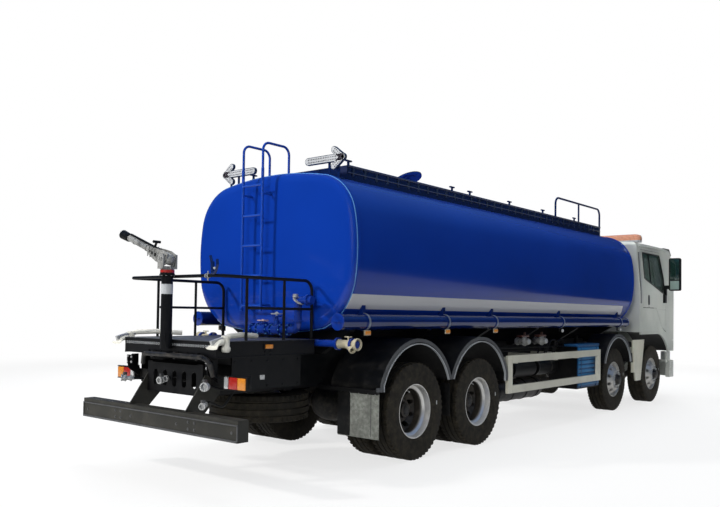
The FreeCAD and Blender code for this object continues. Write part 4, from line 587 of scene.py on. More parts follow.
def repeat_tree():
    """Node tree that stands one item on every point, turned by the point's own angles."""
    tree = bpy.data.node_groups.get("repeat_item")
    if tree:
        return tree
    tree = bpy.data.node_groups.new("repeat_item", "GeometryNodeTree")
    for name, kind in (("Geometry", "Geometry"), ("Item", "Object"), ("Finish", "Material")):
        tree.interface.new_socket(name, in_out="INPUT", socket_type="NodeSocket" + kind)
    tree.interface.new_socket("Geometry", in_out="OUTPUT", socket_type="NodeSocketGeometry")
    w = Wiring(tree)
    given = w.node("NodeGroupInput").outputs
    item = w.node("GeometryNodeObjectInfo", {"transform_space": "ORIGINAL"}, {"Object": given["Item"]})
    angles = w.node("GeometryNodeInputNamedAttribute", {"data_type": "FLOAT_VECTOR"}, {"Name": "angles"})
    turn = w.node("FunctionNodeEulerToRotation", {}, {"Euler": angles.outputs["Attribute"]})
    stand = w.node("GeometryNodeInstanceOnPoints", {}, {
        "Points": given["Geometry"], "Instance": item.outputs["Geometry"],
        "Rotation": turn.outputs["Rotation"]})
    real = w.node("GeometryNodeRealizeInstances", {}, {"Geometry": stand.outputs["Instances"]})
    paint = w.node("GeometryNodeSetMaterial", {}, {
        "Geometry": real.outputs["Geometry"], "Material": given["Finish"]})
    w.node("NodeGroupOutput", {}, {"Geometry": paint.outputs["Geometry"]})
    return tree


def repeat(name, item, spots, finish, body="chassis"):
    """Stand an item, a Stock made about the origin, on spots of (place, rotation matrix)."""
    bmesh.ops.recalc_face_normals(item.bm, faces=item.bm.faces)
    shape = bpy.data.meshes.new(name + "_item")
    item.bm.to_mesh(shape)
    item.bm.free()
    source = bpy.data.objects.new(name + "_item", shape)
    points = bpy.data.meshes.new(name + "_points")
    points.from_pydata([place for place, _ in spots], [], [])
    angles = points.attributes.new("angles", "FLOAT_VECTOR", "POINT")
    for index, (_, turn) in enumerate(spots):
        angles.data[index].vector = turn.to_euler()
    holder = bpy.data.objects.new(name + "_holder", points)
    bpy.context.scene.collection.objects.link(holder)
    modifier = holder.modifiers.new("repeat", "NODES")
    modifier.node_group = repeat_tree()
    sockets = modifier.node_group.interface.items_tree
    keys = {socket.name: socket.identifier for socket in sockets if socket.in_out == "INPUT"}
    modifier[keys["Item"]] = source
    modifier[keys["Finish"]] = FINISH[finish]
    seen = holder.evaluated_get(bpy.context.evaluated_depsgraph_get())
    mesh = bpy.data.meshes.new_from_object(seen)
    mesh.name = name
    for spare in (holder, source):
        bpy.data.objects.remove(spare)
    return settle(name, mesh, finish, body)


def facing(direction, spin=0.0):
    """Rotation that takes +Z to a direction."""
    return Vector(direction).to_track_quat("Z", "Y").to_matrix() @ Matrix.Rotation(spin, 3, "Z")


def stud(profile, height, sides, closed=False):
    """A turned item that stands up from the origin, ready to be repeated."""
    return Stock().lathe(profile, (0, 0, 0), (0, 0, height), sides, closed)


def bolt(radius, height):
    """Hexagon head on a washer, standing up from the origin."""
    washer = stud([(0, radius * 1.45), (0.22, radius * 1.45)], height, 12)
    return washer.lathe([(0.22, radius), (0.9, radius), (1.0, radius * 0.8)], (0, 0, 0), (0, 0, height), 6)


def wheel_nut(height):
    """Hexagon nut on a round collar."""
    return stud([(0, 0.024), (0.12, 0.024), (0.13, 0.0165), (0.9, 0.0165), (1, 0.013)], height, 6)


# ------------------------------------------------------------------ sizes and colours

def metres(name, default, text):
    return bpy.props.FloatProperty(name=name, default=default, description=text, unit="LENGTH", precision=4)


def tone(name, default, text):
    return bpy.props.FloatVectorProperty(name=name, default=default, description=text, subtype="COLOR",
                                         size=3, min=0.0, max=1.0)


class TankerSizes(bpy.types.PropertyGroup):
    """Sizes of the fine detail."""
    tread_depth: metres("Tread depth", 0.013, "Depth of the shoulder lugs")
    lug_count: bpy.props.IntProperty(name="Lugs", default=52, min=12,
                                     description="Shoulder lugs round a tyre")
    head_bulge: metres("Head bulge", 0.012, "How far the flat of the tank's heads stands out")


class TankerColours(bpy.types.PropertyGroup):
    """Paint colours of the lorry."""
    tank: tone("Tank", (0.003, 0.036, 0.32), "Tank and pipes")
    stripe: tone("Stripe", (0.56, 0.56, 0.58), "Band along the tank")
    roof: tone("Roof gear", (0.003, 0.014, 0.080), "Roof edge, stays and hooks")
    cab: tone("Cab", (0.64, 0.66, 0.61), "Cab and bumper")
    guard: tone("Side guard", (0.74, 0.72, 0.60), "Side guards")


# ------------------------------------------------------------------ pieces

def tank_section(base, half, height):
    """The tank's outline (x, z) as eight arcs, from the -X end of its bottom and up the +X side."""
    top = base + height
    shoulder, flank_top = (half - 0.47, top - 0.068), (half - 0.036, base + 1.245)
    flank_low, hip = (half - 0.033, base + 0.515), (half - 0.45, base + 0.062)
    turns = [
        ((-hip[0], hip[1]), (0, base), hip, 26), (hip, (half - 0.158, base + 0.268), flank_low, 30),
        (flank_low, (half, base + 0.9), flank_top, 26), (flank_top, (half - 0.18, top - 0.217), shoulder, 30),
        (shoulder, (0, top), (-shoulder[0], shoulder[1]), 26),
    ]
    line = []
    for start, middle, end, steps in turns:
        line += arc(start, middle, end, steps)
    for start, middle, end, steps in reversed(turns[1:4]):
        mirrored = [(-x, z) for x, z in (end, middle, start)]
        line += arc(*mirrored, steps)
    return line


def tank_crown():
    """Level of the tank's top along its middle."""
    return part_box("water_tank")[0].z + BAND_RISE + TANK_HEIGHT


def tilted(angle):
    """Unit vectors along and across a bar that rises from +X by an angle."""
    return Vector((math.cos(angle), 0, math.sin(angle))), Vector((-math.sin(angle), 0, math.cos(angle)))


class TankerPiece:
    """Shared by every operator of the panel: reads the panel's values and builds the operator's pieces."""
    bl_options = {"REGISTER", "UNDO"}

    def execute(self, context):
        self.sizes, self.colours = context.scene.tanker_sizes, context.scene.tanker_colours
        self.build()
        return {"FINISHED"}


class TANKER_OT_finishes(TankerPiece, bpy.types.Operator):
    """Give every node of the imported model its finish"""
    bl_idname = "tanker.finishes"
    bl_label = "Finishes"

    def build(self):
        make_finishes(self.colours)
        special = {"pump_pipes": "pipe_paint", "side_tubes": "tube_paint", "manhole_lid": "pipe_paint",
                   "filter_box": "black_paint", "road_lamps": "black_plastic", "rear_ladder": "ladder_paint",
                   "sun_visor": "black_plastic", "rear_bumper": "bar_paint", "cannon_head": "gun_metal",
                   "cannon_barrel": "gun_metal"}
        special.update({f"rims_{axle}_{hand}": "twin_rim_steel" for axle in (3, 4)
                        for hand in ("left", "right")})
        for name, node in frame["nodes"].items():
            finish = FINISH[special.get(name, CAD_SLOT[name])]
            node.data.materials.clear()
            node.data.materials.append(finish)


class TANKER_OT_tank(TankerPiece, bpy.types.Operator):
    """Smooth skin of the water tank with its weld bands, shallow heads and manhole neck"""
    bl_idname = "tanker.tank"
    bl_label = "Tank"

    def build(self):
        low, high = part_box("water_tank")
        half, base = high.x - BAND_RISE, low.z + BAND_RISE
        band_start, band_end = 0.070, 0.112  # how far in from each end a weld band lies
        draw_in = 0.11  # how far the rim of a head is rounded in
        line = tank_section(base, half, TANK_HEIGHT)
        count = len(line)
        normals = []
        for i in range(count):
            ahead = Vector(line[(i + 1) % count]) - Vector(line[i - 1])
            normals.append(Vector((ahead.y, -ahead.x)).normalized())
        front, rear = low.y, high.y

        def loop(y, grow, share=1.0):
            centre = base + TANK_HEIGHT / 2
            ring = []
            for (x, z), n in zip(line, normals):
                px, pz = x + n.x * grow, z + n.y * grow
                ring.append(Vector((px * share, y, centre + (pz - centre) * share)))
            return ring

        def head(end, out):
            """Rings from the flat of a head to its rim."""
            bulge = self.sizes.head_bulge
            made = [loop(end + out * bulge * (1 - s * s), -draw_in, s) for s in (0.05, 0.3, 0.6, 0.85)]
            for step in range(9):
                t = math.pi / 2 * step / 8
                made.append(loop(end - out * HEAD_DEPTH * (1 - math.cos(t)), draw_in * (math.sin(t) - 1)))
            return made

        def weld(start, end):
            return [loop(start - 0.002, 0.0), loop(start, BAND_RISE), loop(end, BAND_RISE),
                    loop(end + 0.002, 0.0)]

        rings = head(front, -1) + weld(front + band_start, front + band_end)
        for step in range(1, 24):
            rings.append(loop(front + band_end + (rear - front - 2 * band_end) * step / 24, 0.0))
        rings += weld(rear - band_end, rear - band_start) + head(rear, 1)[::-1]
        # The beads round the heads' rims are painted a pale bright blue, a painted highlight along the tank's
        # edges.
        beads = Stock()
        for end, out in ((front, -1), (rear, 1)):
            start, stop = end - out * (HEAD_DEPTH - 0.006), end - out * (HEAD_DEPTH + 0.003)
            beads.rings([loop(start, -0.004), loop(start, 0.0035), loop(stop, 0.0045), loop(stop, -0.004)],
                        caps=False)
        beads.piece("tank_beads", "bead_blue")
        Stock().rings(rings).piece("tank_skin", "tank_paint", replaces=("water_tank",), sharp=28)
        lid_low, lid_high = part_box("manhole_lid")
        y = (lid_low.y + lid_high.y) / 2
        top = tank_crown()
        neck = Stock()
        neck.lathe([(0, 0.17), (0.86, 0.17), (0.86, 0.186), (1, 0.186), (1, 0.154), (0, 0.154)],
                   (0, y, top - 0.02), (0, 0, 0.11), 48, closed=True)
        for step in (-0.037, 0.037):
            neck.block((-0.238, y + step - 0.006, top - 0.02), (-0.206, y + step + 0.006, top + 0.118), 0.002)
        neck.rod((-0.222, y - 0.045, top + 0.105), (-0.222, y + 0.045, top + 0.105), 0.006)
        neck.piece("manhole_neck", "pipe_paint")


def tyre_profile(half, radius, bead, depth):
    """Section of a tyre (distance from its middle plane, radius), bead to bead."""
    side = [
        (half * 0.77, bead), (half * 0.86, bead + 0.012), (half * 0.90, bead + 0.03),
        (half * 0.99, bead + 0.075), (half, bead + 0.12), (half * 0.985, bead + 0.165),
        (half * 0.95, bead + 0.2), (half * 0.93, radius - depth - 0.012),
        (half * 0.88, radius - depth * 0.95),
    ]
    grooves = []
    for middle in (0.46, 0.0, -0.46):
        for shift, level in ((0.055, 0.0), (0.035, 1.0), (-0.035, 1.0), (-0.055, 0.0)):
            grooves.append((half * (middle + shift), radius - depth * level - 0.0005 - abs(middle) * 0.006))
    back = [(-u, r) for u, r in reversed(side)]
    return side + grooves + back


class TANKER_OT_tyres(TankerPiece, bpy.types.Operator):
    """Tyres with rounded walls, grooves and blocky shoulder lugs"""
    bl_idname = "tanker.tyres"
    bl_label = "Tyres"

    def lugs(self, name, centre, axis, body):
        """Rows of tread blocks round a tyre."""
        half, radius = TYRE_HALF, TYRE_RADIUS
        depth, count = self.sizes.tread_depth, self.sizes.lug_count
        side = axis.orthogonal().normalized()
        up = axis.cross(side)
        item = Stock()
        wide, long, tall = half * 0.30, 2 * math.pi * radius / count * 0.62, depth + 0.004
        outline = [(-wide / 2, -long / 2), (wide / 2, -long * 0.38), (wide / 2, long * 0.38),
                   (-wide / 2, long / 2)]
        item.plate(outline, "xy", -0.004, tall)
        spots = []
        row = 0.74  # share of the tyre's half width at the middle of a row
        for sign in (1, -1):
            for index in range(count):
                angle = 2 * math.pi * (index + (0.5 if sign < 0 else 0)) / count
                out = side * math.cos(angle) + up * math.sin(angle)
                turn = Matrix((axis * sign, out.cross(axis * sign), out)).transposed()
                spots.append((centre + axis * (row * half * sign) + out * (radius - depth - 0.0015), turn))
        repeat(name, item, spots, "tyre_rubber", body)

    def build(self):
        for name in sorted(frame["nodes"]):
            if not name.startswith("tyre"):
                continue
            low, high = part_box(name)
            middle = (low + high) / 2
            twins = (low.x + TYRE_HALF, high.x - TYRE_HALF) if name.startswith("tyres") else (middle.x,)
            walls = Stock()
            for number, x in enumerate(twins):
                centre = Vector((x, middle.y, middle.z))
                self.wall(walls, centre, X)
                self.lugs(f"tread_{name}_{number}", centre, X, BODY_OF[name])
            walls.piece("walls_" + name, "tyre_rubber", BODY_OF[name], replaces=(name,), sharp=40)
        low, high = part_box("spare_wheel")
        middle = (low + high) / 2
        centre = Vector((middle.x, middle.y, low.z + TYRE_HALF))
        spare = Stock()
        self.wall(spare, centre, Z)
        spare.piece("spare_walls", "tyre_rubber", sharp=40, replaces=("spare_wheel",))
        self.lugs("spare_tread", centre, Z, "chassis")
        rim = Stock()
        profile = [(-0.127, 0.289), (-0.127, 0.298), (-0.115, 0.298), (-0.112, 0.286), (-0.062, 0.283),
                   (-0.04, 0.255), (0.05, 0.255), (0.09, 0.275), (0.155, 0.19), (0.175, 0.16), (0.175, 0.095),
                   (0.162, 0.095), (0.162, 0.155), (0.14, 0.18), (0.085, 0.262), (0.052, 0.246),
                   (-0.044, 0.246), (-0.066, 0.274)]
        rim.lathe([(0.5 + u, r) for u, r in profile], centre - Z * 0.5, Z, 48, closed=True)
        rim.piece("spare_rim", "rim_steel")

    def wall(self, stock, centre, axis):
        profile = tyre_profile(TYRE_HALF, TYRE_RADIUS, BEAD_RADIUS, self.sizes.tread_depth)
        stock.lathe([(0.5 + u, r) for u, r in profile], centre - axis * 0.5, axis, 96, closed=True)


def capsule(start, end, half, steps=8):
    """Outline of a bar with round ends between two (u, v) points."""
    angle = math.atan2(end[1] - start[1], end[0] - start[0])
    line = []
    for (u, v), first in ((end, angle - math.pi / 2), (start, angle + math.pi / 2)):
        for i in range(steps + 1):
            a = first + math.pi * i / steps
            line.append((u + half * math.cos(a), v + half * math.sin(a)))
    return line


def marker(lenses, housings, place, out, long=0.10, tall=0.046):
    """Small side lamp on its housing, standing off a wall that faces along X."""
    x, y, z = place
    near, far = sorted((x, x + out * 0.012))
    housings.block((near, y - long / 2, z - tall / 2), (far, y + long / 2, z + tall / 2), 0.004)
    near, far = sorted((x + out * 0.011, x + out * 0.024))
    lenses.block((near, y - long * 0.4, z - tall * 0.34), (far, y + long * 0.4, z + tall * 0.34), 0.005)


class TANKER_OT_arrows(TankerPiece, bpy.types.Operator):
    """Arrow-shaped warning boards with rows of small lamps, on flat stays"""
    bl_idname = "tanker.arrows"
    bl_label = "Arrow boards"

    def build(self):
        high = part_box("arrow_lamps")[1]
        middle, rear, roof = high.z - 0.125, high.y, tank_crown()
        rims, faces, stays, feet, spots = Stock(), Stock(), Stock(), Stock(), []
        for side in (1, -1):
            tip = (side * (high.x - 0.037), middle)
            bars = [((side * 0.434, middle), tip, 0.041)]
            bars += [((side * (high.x - 0.155), middle + rise), tip, 0.036) for rise in (0.089, -0.089)]
            for start, end, half in bars:
                rims.plate(capsule(start, end, half), "xz", rear - 0.036, 0.030)
                faces.plate(capsule(start, end, half - 0.007), "xz", rear - 0.038, 0.036)
                run = Vector(end) - Vector(start)
                count = int(run.length / 0.024)
                across = Vector((-run.y, run.x)).normalized() * 0.015
                for row in (-1, 1):
                    for index in range(count):
                        u, v = Vector(start) + run * ((index + 0.5) / count) + across * row
                        spots.append(((u, rear - 0.0025, v), facing(Y)))
            for place, foot in ((0.715, 0.055), (0.845, 0.105)):
                x = side * place
                stays.block((x - 0.017, rear - 0.048, roof - foot), (x + 0.017, rear - 0.041, middle), 0.001)
                feet.block((x - 0.045, rear - 0.09, roof - foot - 0.02),
                           (x + 0.045, rear, roof - foot + 0.012), 0.004)
        rims.piece("arrow_rims", "roof_rim", replaces=("arrow_lamps",))
        faces.piece("arrow_faces", "board_grey")
        stays.piece("arrow_stays", "dark_blue_paint")
        feet.piece("arrow_feet", "dark_blue_paint")
        dot = stud([(0, 0.0078), (0.5, 0.0066), (1.0, 0.002)], 0.005, 8)
        repeat("arrow_lights", dot, spots, "arrow_dots")


class TANKER_OT_cannon(TankerPiece, bpy.types.Operator):
    """Water cannon: turned barrel with a ribbed casting, its fork and the ring it turns on"""
    bl_idname = "tanker.cannon"
    bl_label = "Water cannon"

    def build(self):
        low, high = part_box("cannon_barrel")
        fork_low, fork_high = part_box("cannon_head")
        ahead, over = tilted(CANNON_LIFT)
        pivot = Vector(((fork_low.x + fork_high.x) / 2, (low.y + high.y) / 2, fork_high.z - 0.038))
        self.barrel(pivot, ahead, over)
        self.webs(pivot, ahead, over)
        self.turret(pivot, fork_low)

    def barrel(self, pivot, ahead, over):
        profile = [
            (-0.062, 0.012), (-0.060, 0.028), (-0.044, 0.051), (-0.036, 0.054), (0.034, 0.054),
            (0.046, 0.050), (0.075, 0.037), (0.100, 0.034), (0.118, 0.034), (0.120, 0.040), (0.138, 0.040),
            (0.140, 0.0335), (0.330, 0.0325), (0.332, 0.037), (0.350, 0.037), (0.352, 0.0325),
            (0.560, 0.0315), (0.562, 0.036), (0.578, 0.036), (0.580, 0.0315), (0.690, 0.032),
        ]
        tube = Stock().lathe(profile, pivot, ahead, 32)
        tube.rod(pivot - Y * 0.088, pivot + Y * 0.088, 0.016)
        tube.piece("cannon_tube", "gun_metal", "cannon_gun", replaces=("cannon_barrel",))
        muzzle = Stock()
        muzzle.lathe([(0.672, 0.030), (0.672, 0.039), (0.684, 0.043), (0.760, 0.046), (0.796, 0.0475),
                      (0.798, 0.044), (0.798, 0.041), (0.700, 0.028)], pivot, ahead, 32, closed=True)
        muzzle.piece("cannon_muzzle", "black_plastic", "cannon_gun")
        lip = Stock().lathe([(0.786, 0.0405), (0.7995, 0.0425), (0.7995, 0.0465), (0.790, 0.0475)], pivot,
                            ahead, 32, closed=True)
        lip.piece("cannon_lip", "white_lens", "cannon_gun")
        guide = Stock()
        guide.rod(pivot + ahead * 0.13 + over * 0.043, pivot + ahead * 0.66 + over * 0.041, 0.011, 10)
        guide.rod(pivot + ahead * 0.235 + over * 0.05, pivot + ahead * 0.225 + over * 0.098, 0.012, 10)
        knob = pivot + ahead * 0.225 + over * 0.098
        guide.rod(knob - Y * 0.04, knob + Y * 0.04, 0.014, 10)
        guide.piece("cannon_guide", "black_plastic", "cannon_gun")

    def webs(self, pivot, ahead, over):
        """Side walls of the casting, pierced by round windows between ribs, with dark discs in the windows as
        painted shade.
        """
        outline = [(-0.050, -0.052), (0.010, -0.070), (0.110, -0.064), (0.270, -0.036), (0.285, 0.030),
                   (0.150, 0.052), (0.030, 0.068), (-0.050, 0.058)]
        windows = [(0.070, 0.000, 0.022), (0.128, -0.006, 0.020), (0.180, -0.004, 0.016),
                   (0.226, -0.001, 0.012)]
        wall, gaps = Stock(), []
        for side in (-1, 1):
            flat = [pivot + ahead * u + over * v for u, v in outline]
            start = pivot.y + (0.040 if side > 0 else -0.052)
            wall.plate([(p.x, p.z) for p in flat], "xz", start, 0.012, 0.003)
            for u, v, radius in windows:
                centre = pivot + ahead * u + over * v
                centre.y = pivot.y + side * 0.0505
                wall.lathe([(0, radius + 0.006), (1, radius + 0.004), (1, radius), (0, radius)],
                           centre, Y * (side * 0.006), 18, closed=True)
                gaps.append((centre, radius, side))
            for u in (0.035, 0.099, 0.155, 0.205, 0.248):
                foot = pivot + ahead * u + Y * (side * 0.053)
                wall.rod(foot - over * 0.056, foot + over * 0.046, 0.0045, 6)
        wall.piece("cannon_casting", "gun_metal", "cannon_gun", sharp=40)
        # Dark discs in the windows: painted shade inside the casting.
        dark = Stock()
        for centre, radius, side in gaps:
            dark.lathe([(0, radius), (1, radius)], centre, Y * (side * 0.0022), 18)
        dark.piece("cannon_windows", "dark_metal", "cannon_gun")

    def turret(self, pivot, fork_low):
        base = fork_low.z
        foot = Vector((pivot.x, pivot.y, base))
        ring = Stock().ring(foot + Z * 0.014, Z * 0.026, 0.058, 0.0675, 40)
        ring.piece("turret_band", "red_paint", "cannon_swivel")
        collar = Stock().lathe([(0, 0.058), (0.0, 0.069), (0.8, 0.069), (1, 0.065), (1, 0.058)],
                               foot + Z * 0.001, Z * 0.012, 40, closed=True)
        collar.piece("turret_collar", "black_plastic", "cannon_swivel")
        ribs = Stock()
        for out in spokes(8):
            ribs.rod(foot + out * 0.061 + Z * 0.042, foot + out * 0.046 + Z * 0.066, 0.006, 6)
        for side in (-1, 1):
            seat = pivot + Y * (side * 0.084)
            ribs.lathe([(0, 0.026), (1, 0.024)], seat, Y * (side * 0.008), 20)
            ribs.lathe([(0, 0.014), (1, 0.013)], seat, Y * (side * 0.018), 6)
        ribs.piece("turret_ribs", "gun_metal", "cannon_swivel")


class TANKER_OT_platform(TankerPiece, bpy.types.Operator):
    """Rear platform: trodden deck, pierced edge, markers, pipes, couplings and the hose rest on its rail"""
    bl_idname = "tanker.platform"
    bl_label = "Rear platform"

    def build(self):
        low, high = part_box("work_platform")
        self.deck(low, high)
        self.sides(low, high)
        self.rear_edge(high)
        self.rail_fittings()
        self.couplings(high)
        self.tail_lamps()

    def deck(self, low, high):
        sheet = Stock().block((low.x + 0.02, low.y + 0.02, high.z),
                              (high.x - 0.02, high.y - 0.02, high.z + 0.003), 0.001)
        sheet.piece("deck_sheet", "deck")
        edge = Stock()
        for x in (low.x, high.x - 0.012):
            edge.block((x, low.y, high.z - 0.004), (x + 0.012, high.y, high.z + 0.004), 0.001)
        edge.block((low.x, high.y - 0.012, high.z - 0.004), (high.x, high.y, high.z + 0.004), 0.001)
        edge.piece("deck_edging", "worn_steel")

    def sides(self, low, high):
        lenses, housings, plates, spots = Stock(), Stock(), Stock(), []
        for side in (1, -1):
            wall = high.x if side > 0 else low.x
            marker(lenses, housings, (wall, low.y + 0.66, high.z - 0.055), side, 0.12, 0.06)
            near, far = sorted((wall, wall + side * 0.004))
            plates.block((near, low.y + 0.70, 0.955), (far, low.y + 0.76, 0.998), 0.001)
            for y in (0.625, 0.695):
                for drop in (0.105, 0.14):
                    spots.append(((wall, low.y + y, high.z - drop), facing(X * side)))
            for index in range(5):
                for z in (0.27, 0.03):
                    spots.append(((wall, low.y + 0.24 + index * 0.21, low.z + z), facing(X * side)))
        lenses.piece("deck_markers", "amber_plastic")
        housings.piece("deck_marker_housings", "black_plastic")
        plates.piece("deck_blank_plates", "white_lens")
        for x in (-0.30, -0.10, 0.10, 0.30):
            spots.append(((x, high.y, high.z - 0.115), facing(Y)))
        repeat("deck_bolts", bolt(0.010, 0.007), spots, "black_paint")
        seams = Stock()
        for side in (1, -1):
            wall = high.x if side > 0 else low.x
            near, far = sorted((wall - side * 0.002, wall + side * 0.005))
            seams.block((near, low.y, high.z - 0.150), (far, high.y, high.z - 0.138), 0.002)
            seams.block((near, low.y, high.z - 0.012), (far, high.y, high.z - 0.002), 0.002)
        seams.piece("deck_seams", "black_paint")

    def rear_edge(self, high):
        """Row of pierced holes in the rear edge, and the brackets and black tube below it."""
        spots = [((-0.675 + 0.0355 * index, high.y, high.z - 0.045), facing(Y)) for index in range(39)]
        hole = stud([(0, 0.0125), (0.6, 0.0125), (1.0, 0.0095), (0.25, 0.0088)], 0.003, 12)
        repeat("edge_holes", hole, spots, "board_grey")
        dark = stud([(0, 0.0092), (1, 0.009)], 0.0012, 12)
        repeat("edge_hole_shade", dark, spots, "dark_metal")
        tube = Stock()
        y, z = high.y + 0.035, high.z - 0.145
        tube.pipe([(0.40, y - 0.04, z - 0.10), (0.33, y, z), (-0.56, y, z), (-0.66, y, z - 0.03),
                   (-0.665, y - 0.05, z - 0.17)],
                  0.024, 16, 0.07)
        for x in (0.20, -0.15, -0.48):
            tube.block((x - 0.012, high.y - 0.005, z - 0.034), (x + 0.012, y + 0.006, z + 0.034), 0.003)
        tube.piece("rear_tube", "dark_metal")
        brackets = Stock()
        for side in (1, -1):
            x = side * 0.62
            brackets.plate([(high.y - 0.03, z - 0.02), (high.y + 0.03, z - 0.05), (high.y + 0.02, z - 0.16),
                            (high.y - 0.10, z - 0.24), (high.y - 0.10, z - 0.02)], "yz", x - 0.006, 0.012,
                            0.002)
            brackets.block((x - 0.05, high.y - 0.012, z - 0.12), (x + 0.05, high.y + 0.004, z - 0.03), 0.003)
        brackets.piece("rear_brackets", "black_paint")
        marks = [((side * (0.62 + x), high.y + 0.004, z - drop), facing(Y))
                 for side in (1, -1) for x in (-0.03, 0.03) for drop in (0.05, 0.10)]
        repeat("rear_bracket_bolts", bolt(0.009, 0.008), marks, "bare_metal")

    def rail_fittings(self):
        """Clamps and hose rest on the rail, and the band and collars of the cannon's pillar."""
        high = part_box("platform_rails")[1]
        y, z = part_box("work_platform")[1].y - 0.018, high.z - 0.022
        clamps = Stock()
        for x in (-0.545, -0.575):
            clamps.ring((x, y, z), X * 0.012, 0.0165, 0.022, 20)
        clamps.block((-0.562, y - 0.006, z - 0.045), (-0.556, y + 0.006, z + 0.045), 0.001)
        clamps.piece("rail_clamps", "bare_metal")
        rest = Stock()
        rest.pipe([(-0.592, y + 0.004, z + 0.185), (-0.612, y, z + 0.12), (-0.618, y, z + 0.022),
                   (-0.65, y, z + 0.018), (-0.672, y, z + 0.05), (-0.690, y, z + 0.10),
                   (-0.684, y, z + 0.150)], 0.013, 12, 0.03)
        rest.block((-0.640, y - 0.008, z + 0.010), (-0.604, y + 0.008, z + 0.13), 0.004)
        rest.piece("hose_rest", "dark_blue_paint")
        bead = Stock().lathe([(0, 0.008), (0.3, 0.012), (0.7, 0.012), (1, 0.006)],
                             (-0.664, y + 0.008, z + 0.062), (0.0, 0.012, 0.012), 14)
        bead.piece("hose_rest_stud", "white_lens")
        head_low, head_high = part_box("cannon_head")
        x, y, top = (head_low.x + head_high.x) / 2, high.y - 0.055, head_low.z
        band = Stock().ring((x, y, top - 0.19), Z * 0.095, 0.0552, 0.0562, 40)
        band.piece("pillar_band", "board_grey")
        foot = Stock()
        for out in spokes(4, math.pi / 4):
            foot.rod(Vector((x, y, 1.30)) + out * 0.055, Vector((x, y, 1.38)) + out * 0.054, 0.005, 6)
        foot.lathe([(0, 0.075), (0.8, 0.075), (1, 0.070)], (x, y, top - 0.012), Z * 0.012, 40)
        foot.piece("pillar_collars", "black_paint")
        spots = [(Vector((x, y, top - 0.012)) + out * 0.066, facing(-Z)) for out in spokes(8)]
        repeat("pillar_bolts", bolt(0.006, 0.006), spots, "bare_metal")

    def couplings(self, high):
        """Hose couplings that point out from under the platform, with their levers and hoses."""
        parts, hoses, caps = Stock(), Stock(), Stock()
        profile = [(0, 0.016), (0.12, 0.016), (0.13, 0.030), (0.30, 0.032), (0.32, 0.022), (0.55, 0.022),
                   (0.58, 0.034), (0.70, 0.037), (0.72, 0.031), (0.92, 0.031), (0.94, 0.037), (1.0, 0.035),
                   (1.0, 0.024), (0.80, 0.021)]
        table = (
            # place, direction, size
            ((-0.575, high.y - 0.02, 0.914), (-0.6, 0.75, 0.05), 1.15),
            ((-0.61, high.y + 0.02, 0.760), (-0.5, 0.8, -0.1), 0.9),
            ((0.084, high.y - 0.075, 0.945), (-0.15, 0.95, -0.12), 1.0),
            ((0.575, high.y - 0.02, 0.914), (0.5, 0.8, 0.05), 1.0),
        )
        for place, way, size in table:
            run = Vector(way).normalized() * (0.125 * size)
            parts.lathe([(share, radius * size) for share, radius in profile], place, run, 20)
            side = Vector(place) + run * 0.7
            caps.block(side + Vector((-0.012, -0.02, 0.030 * size)),
                       side + Vector((0.012, 0.02, 0.058 * size)), 0.004)
            start = Vector(place)
            bend, end = start + Vector((0.0, -0.20, -0.05)), start + Vector((0.0, -0.34, 0.10))
            hoses.pipe([start, start - run * 0.8, bend, end], 0.011, 8, 0.05)
        parts.piece("hose_couplings", "bare_metal", sharp=30)
        caps.piece("coupling_levers", "worn_steel")
        hoses.pipe([(-0.60, high.y - 0.01, 1.10), (-0.635, high.y - 0.03, 1.02),
                    (-0.69, high.y - 0.10, 0.975)], 0.006, 8, 0.04)
        hoses.piece("rear_hoses", "black_plastic")

    def tail_lamps(self):
        """White, red and amber lenses of both rear lamps in their frame."""
        table = (
            # name, inner and outer end, finish
            ("tail_white", 0.708, 0.762, "white_lens"),
            ("tail_red", 0.768, 0.884, "red_lens"),
            ("tail_amber", 0.890, 0.992, "amber_plastic"),
        )
        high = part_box("road_lamps")[1]
        top, rear = high.z, high.y
        for name, near, far, finish in table:
            lamps = Stock()
            for side in (1, -1):
                a, b = sided(side, near, far)
                lamps.block((a, rear - 0.012, top - 0.117), (b, rear + 0.012, top - 0.008), 0.007)
            lamps.piece(name, finish)
        frames = Stock()
        for side in (1, -1):
            a, b = sided(side, 0.694, 1.004)
            frames.block((a, rear - 0.016, top - 0.004), (b, rear + 0.008, top + 0.004), 0.002)
            frames.block((a, rear - 0.016, top - 0.128), (b, rear + 0.008, top - 0.120), 0.002)
            frames.block((a - 0.004, rear - 0.05, top + 0.02), (a + 0.016, rear - 0.03, top - 0.10), 0.002)
        frames.piece("tail_frames", "black_plastic")


def strip_along(stock, line, inner, outer, near, far):
    """A flat strip that follows a line of (y, z) points, between two distances to its right-hand side."""
    loops = []
    for i, point in enumerate(line):
        ahead = Vector(line[min(i + 1, len(line) - 1)]) - Vector(line[max(i - 1, 0)])
        side = Vector((ahead.y, -ahead.x)).normalized()
        a, b = Vector(point) + side * inner, Vector(point) + side * outer
        loops.append([Vector((near, *a)), Vector((far, *a)), Vector((far, *b)), Vector((near, *b))])
    stock.rings(loops)


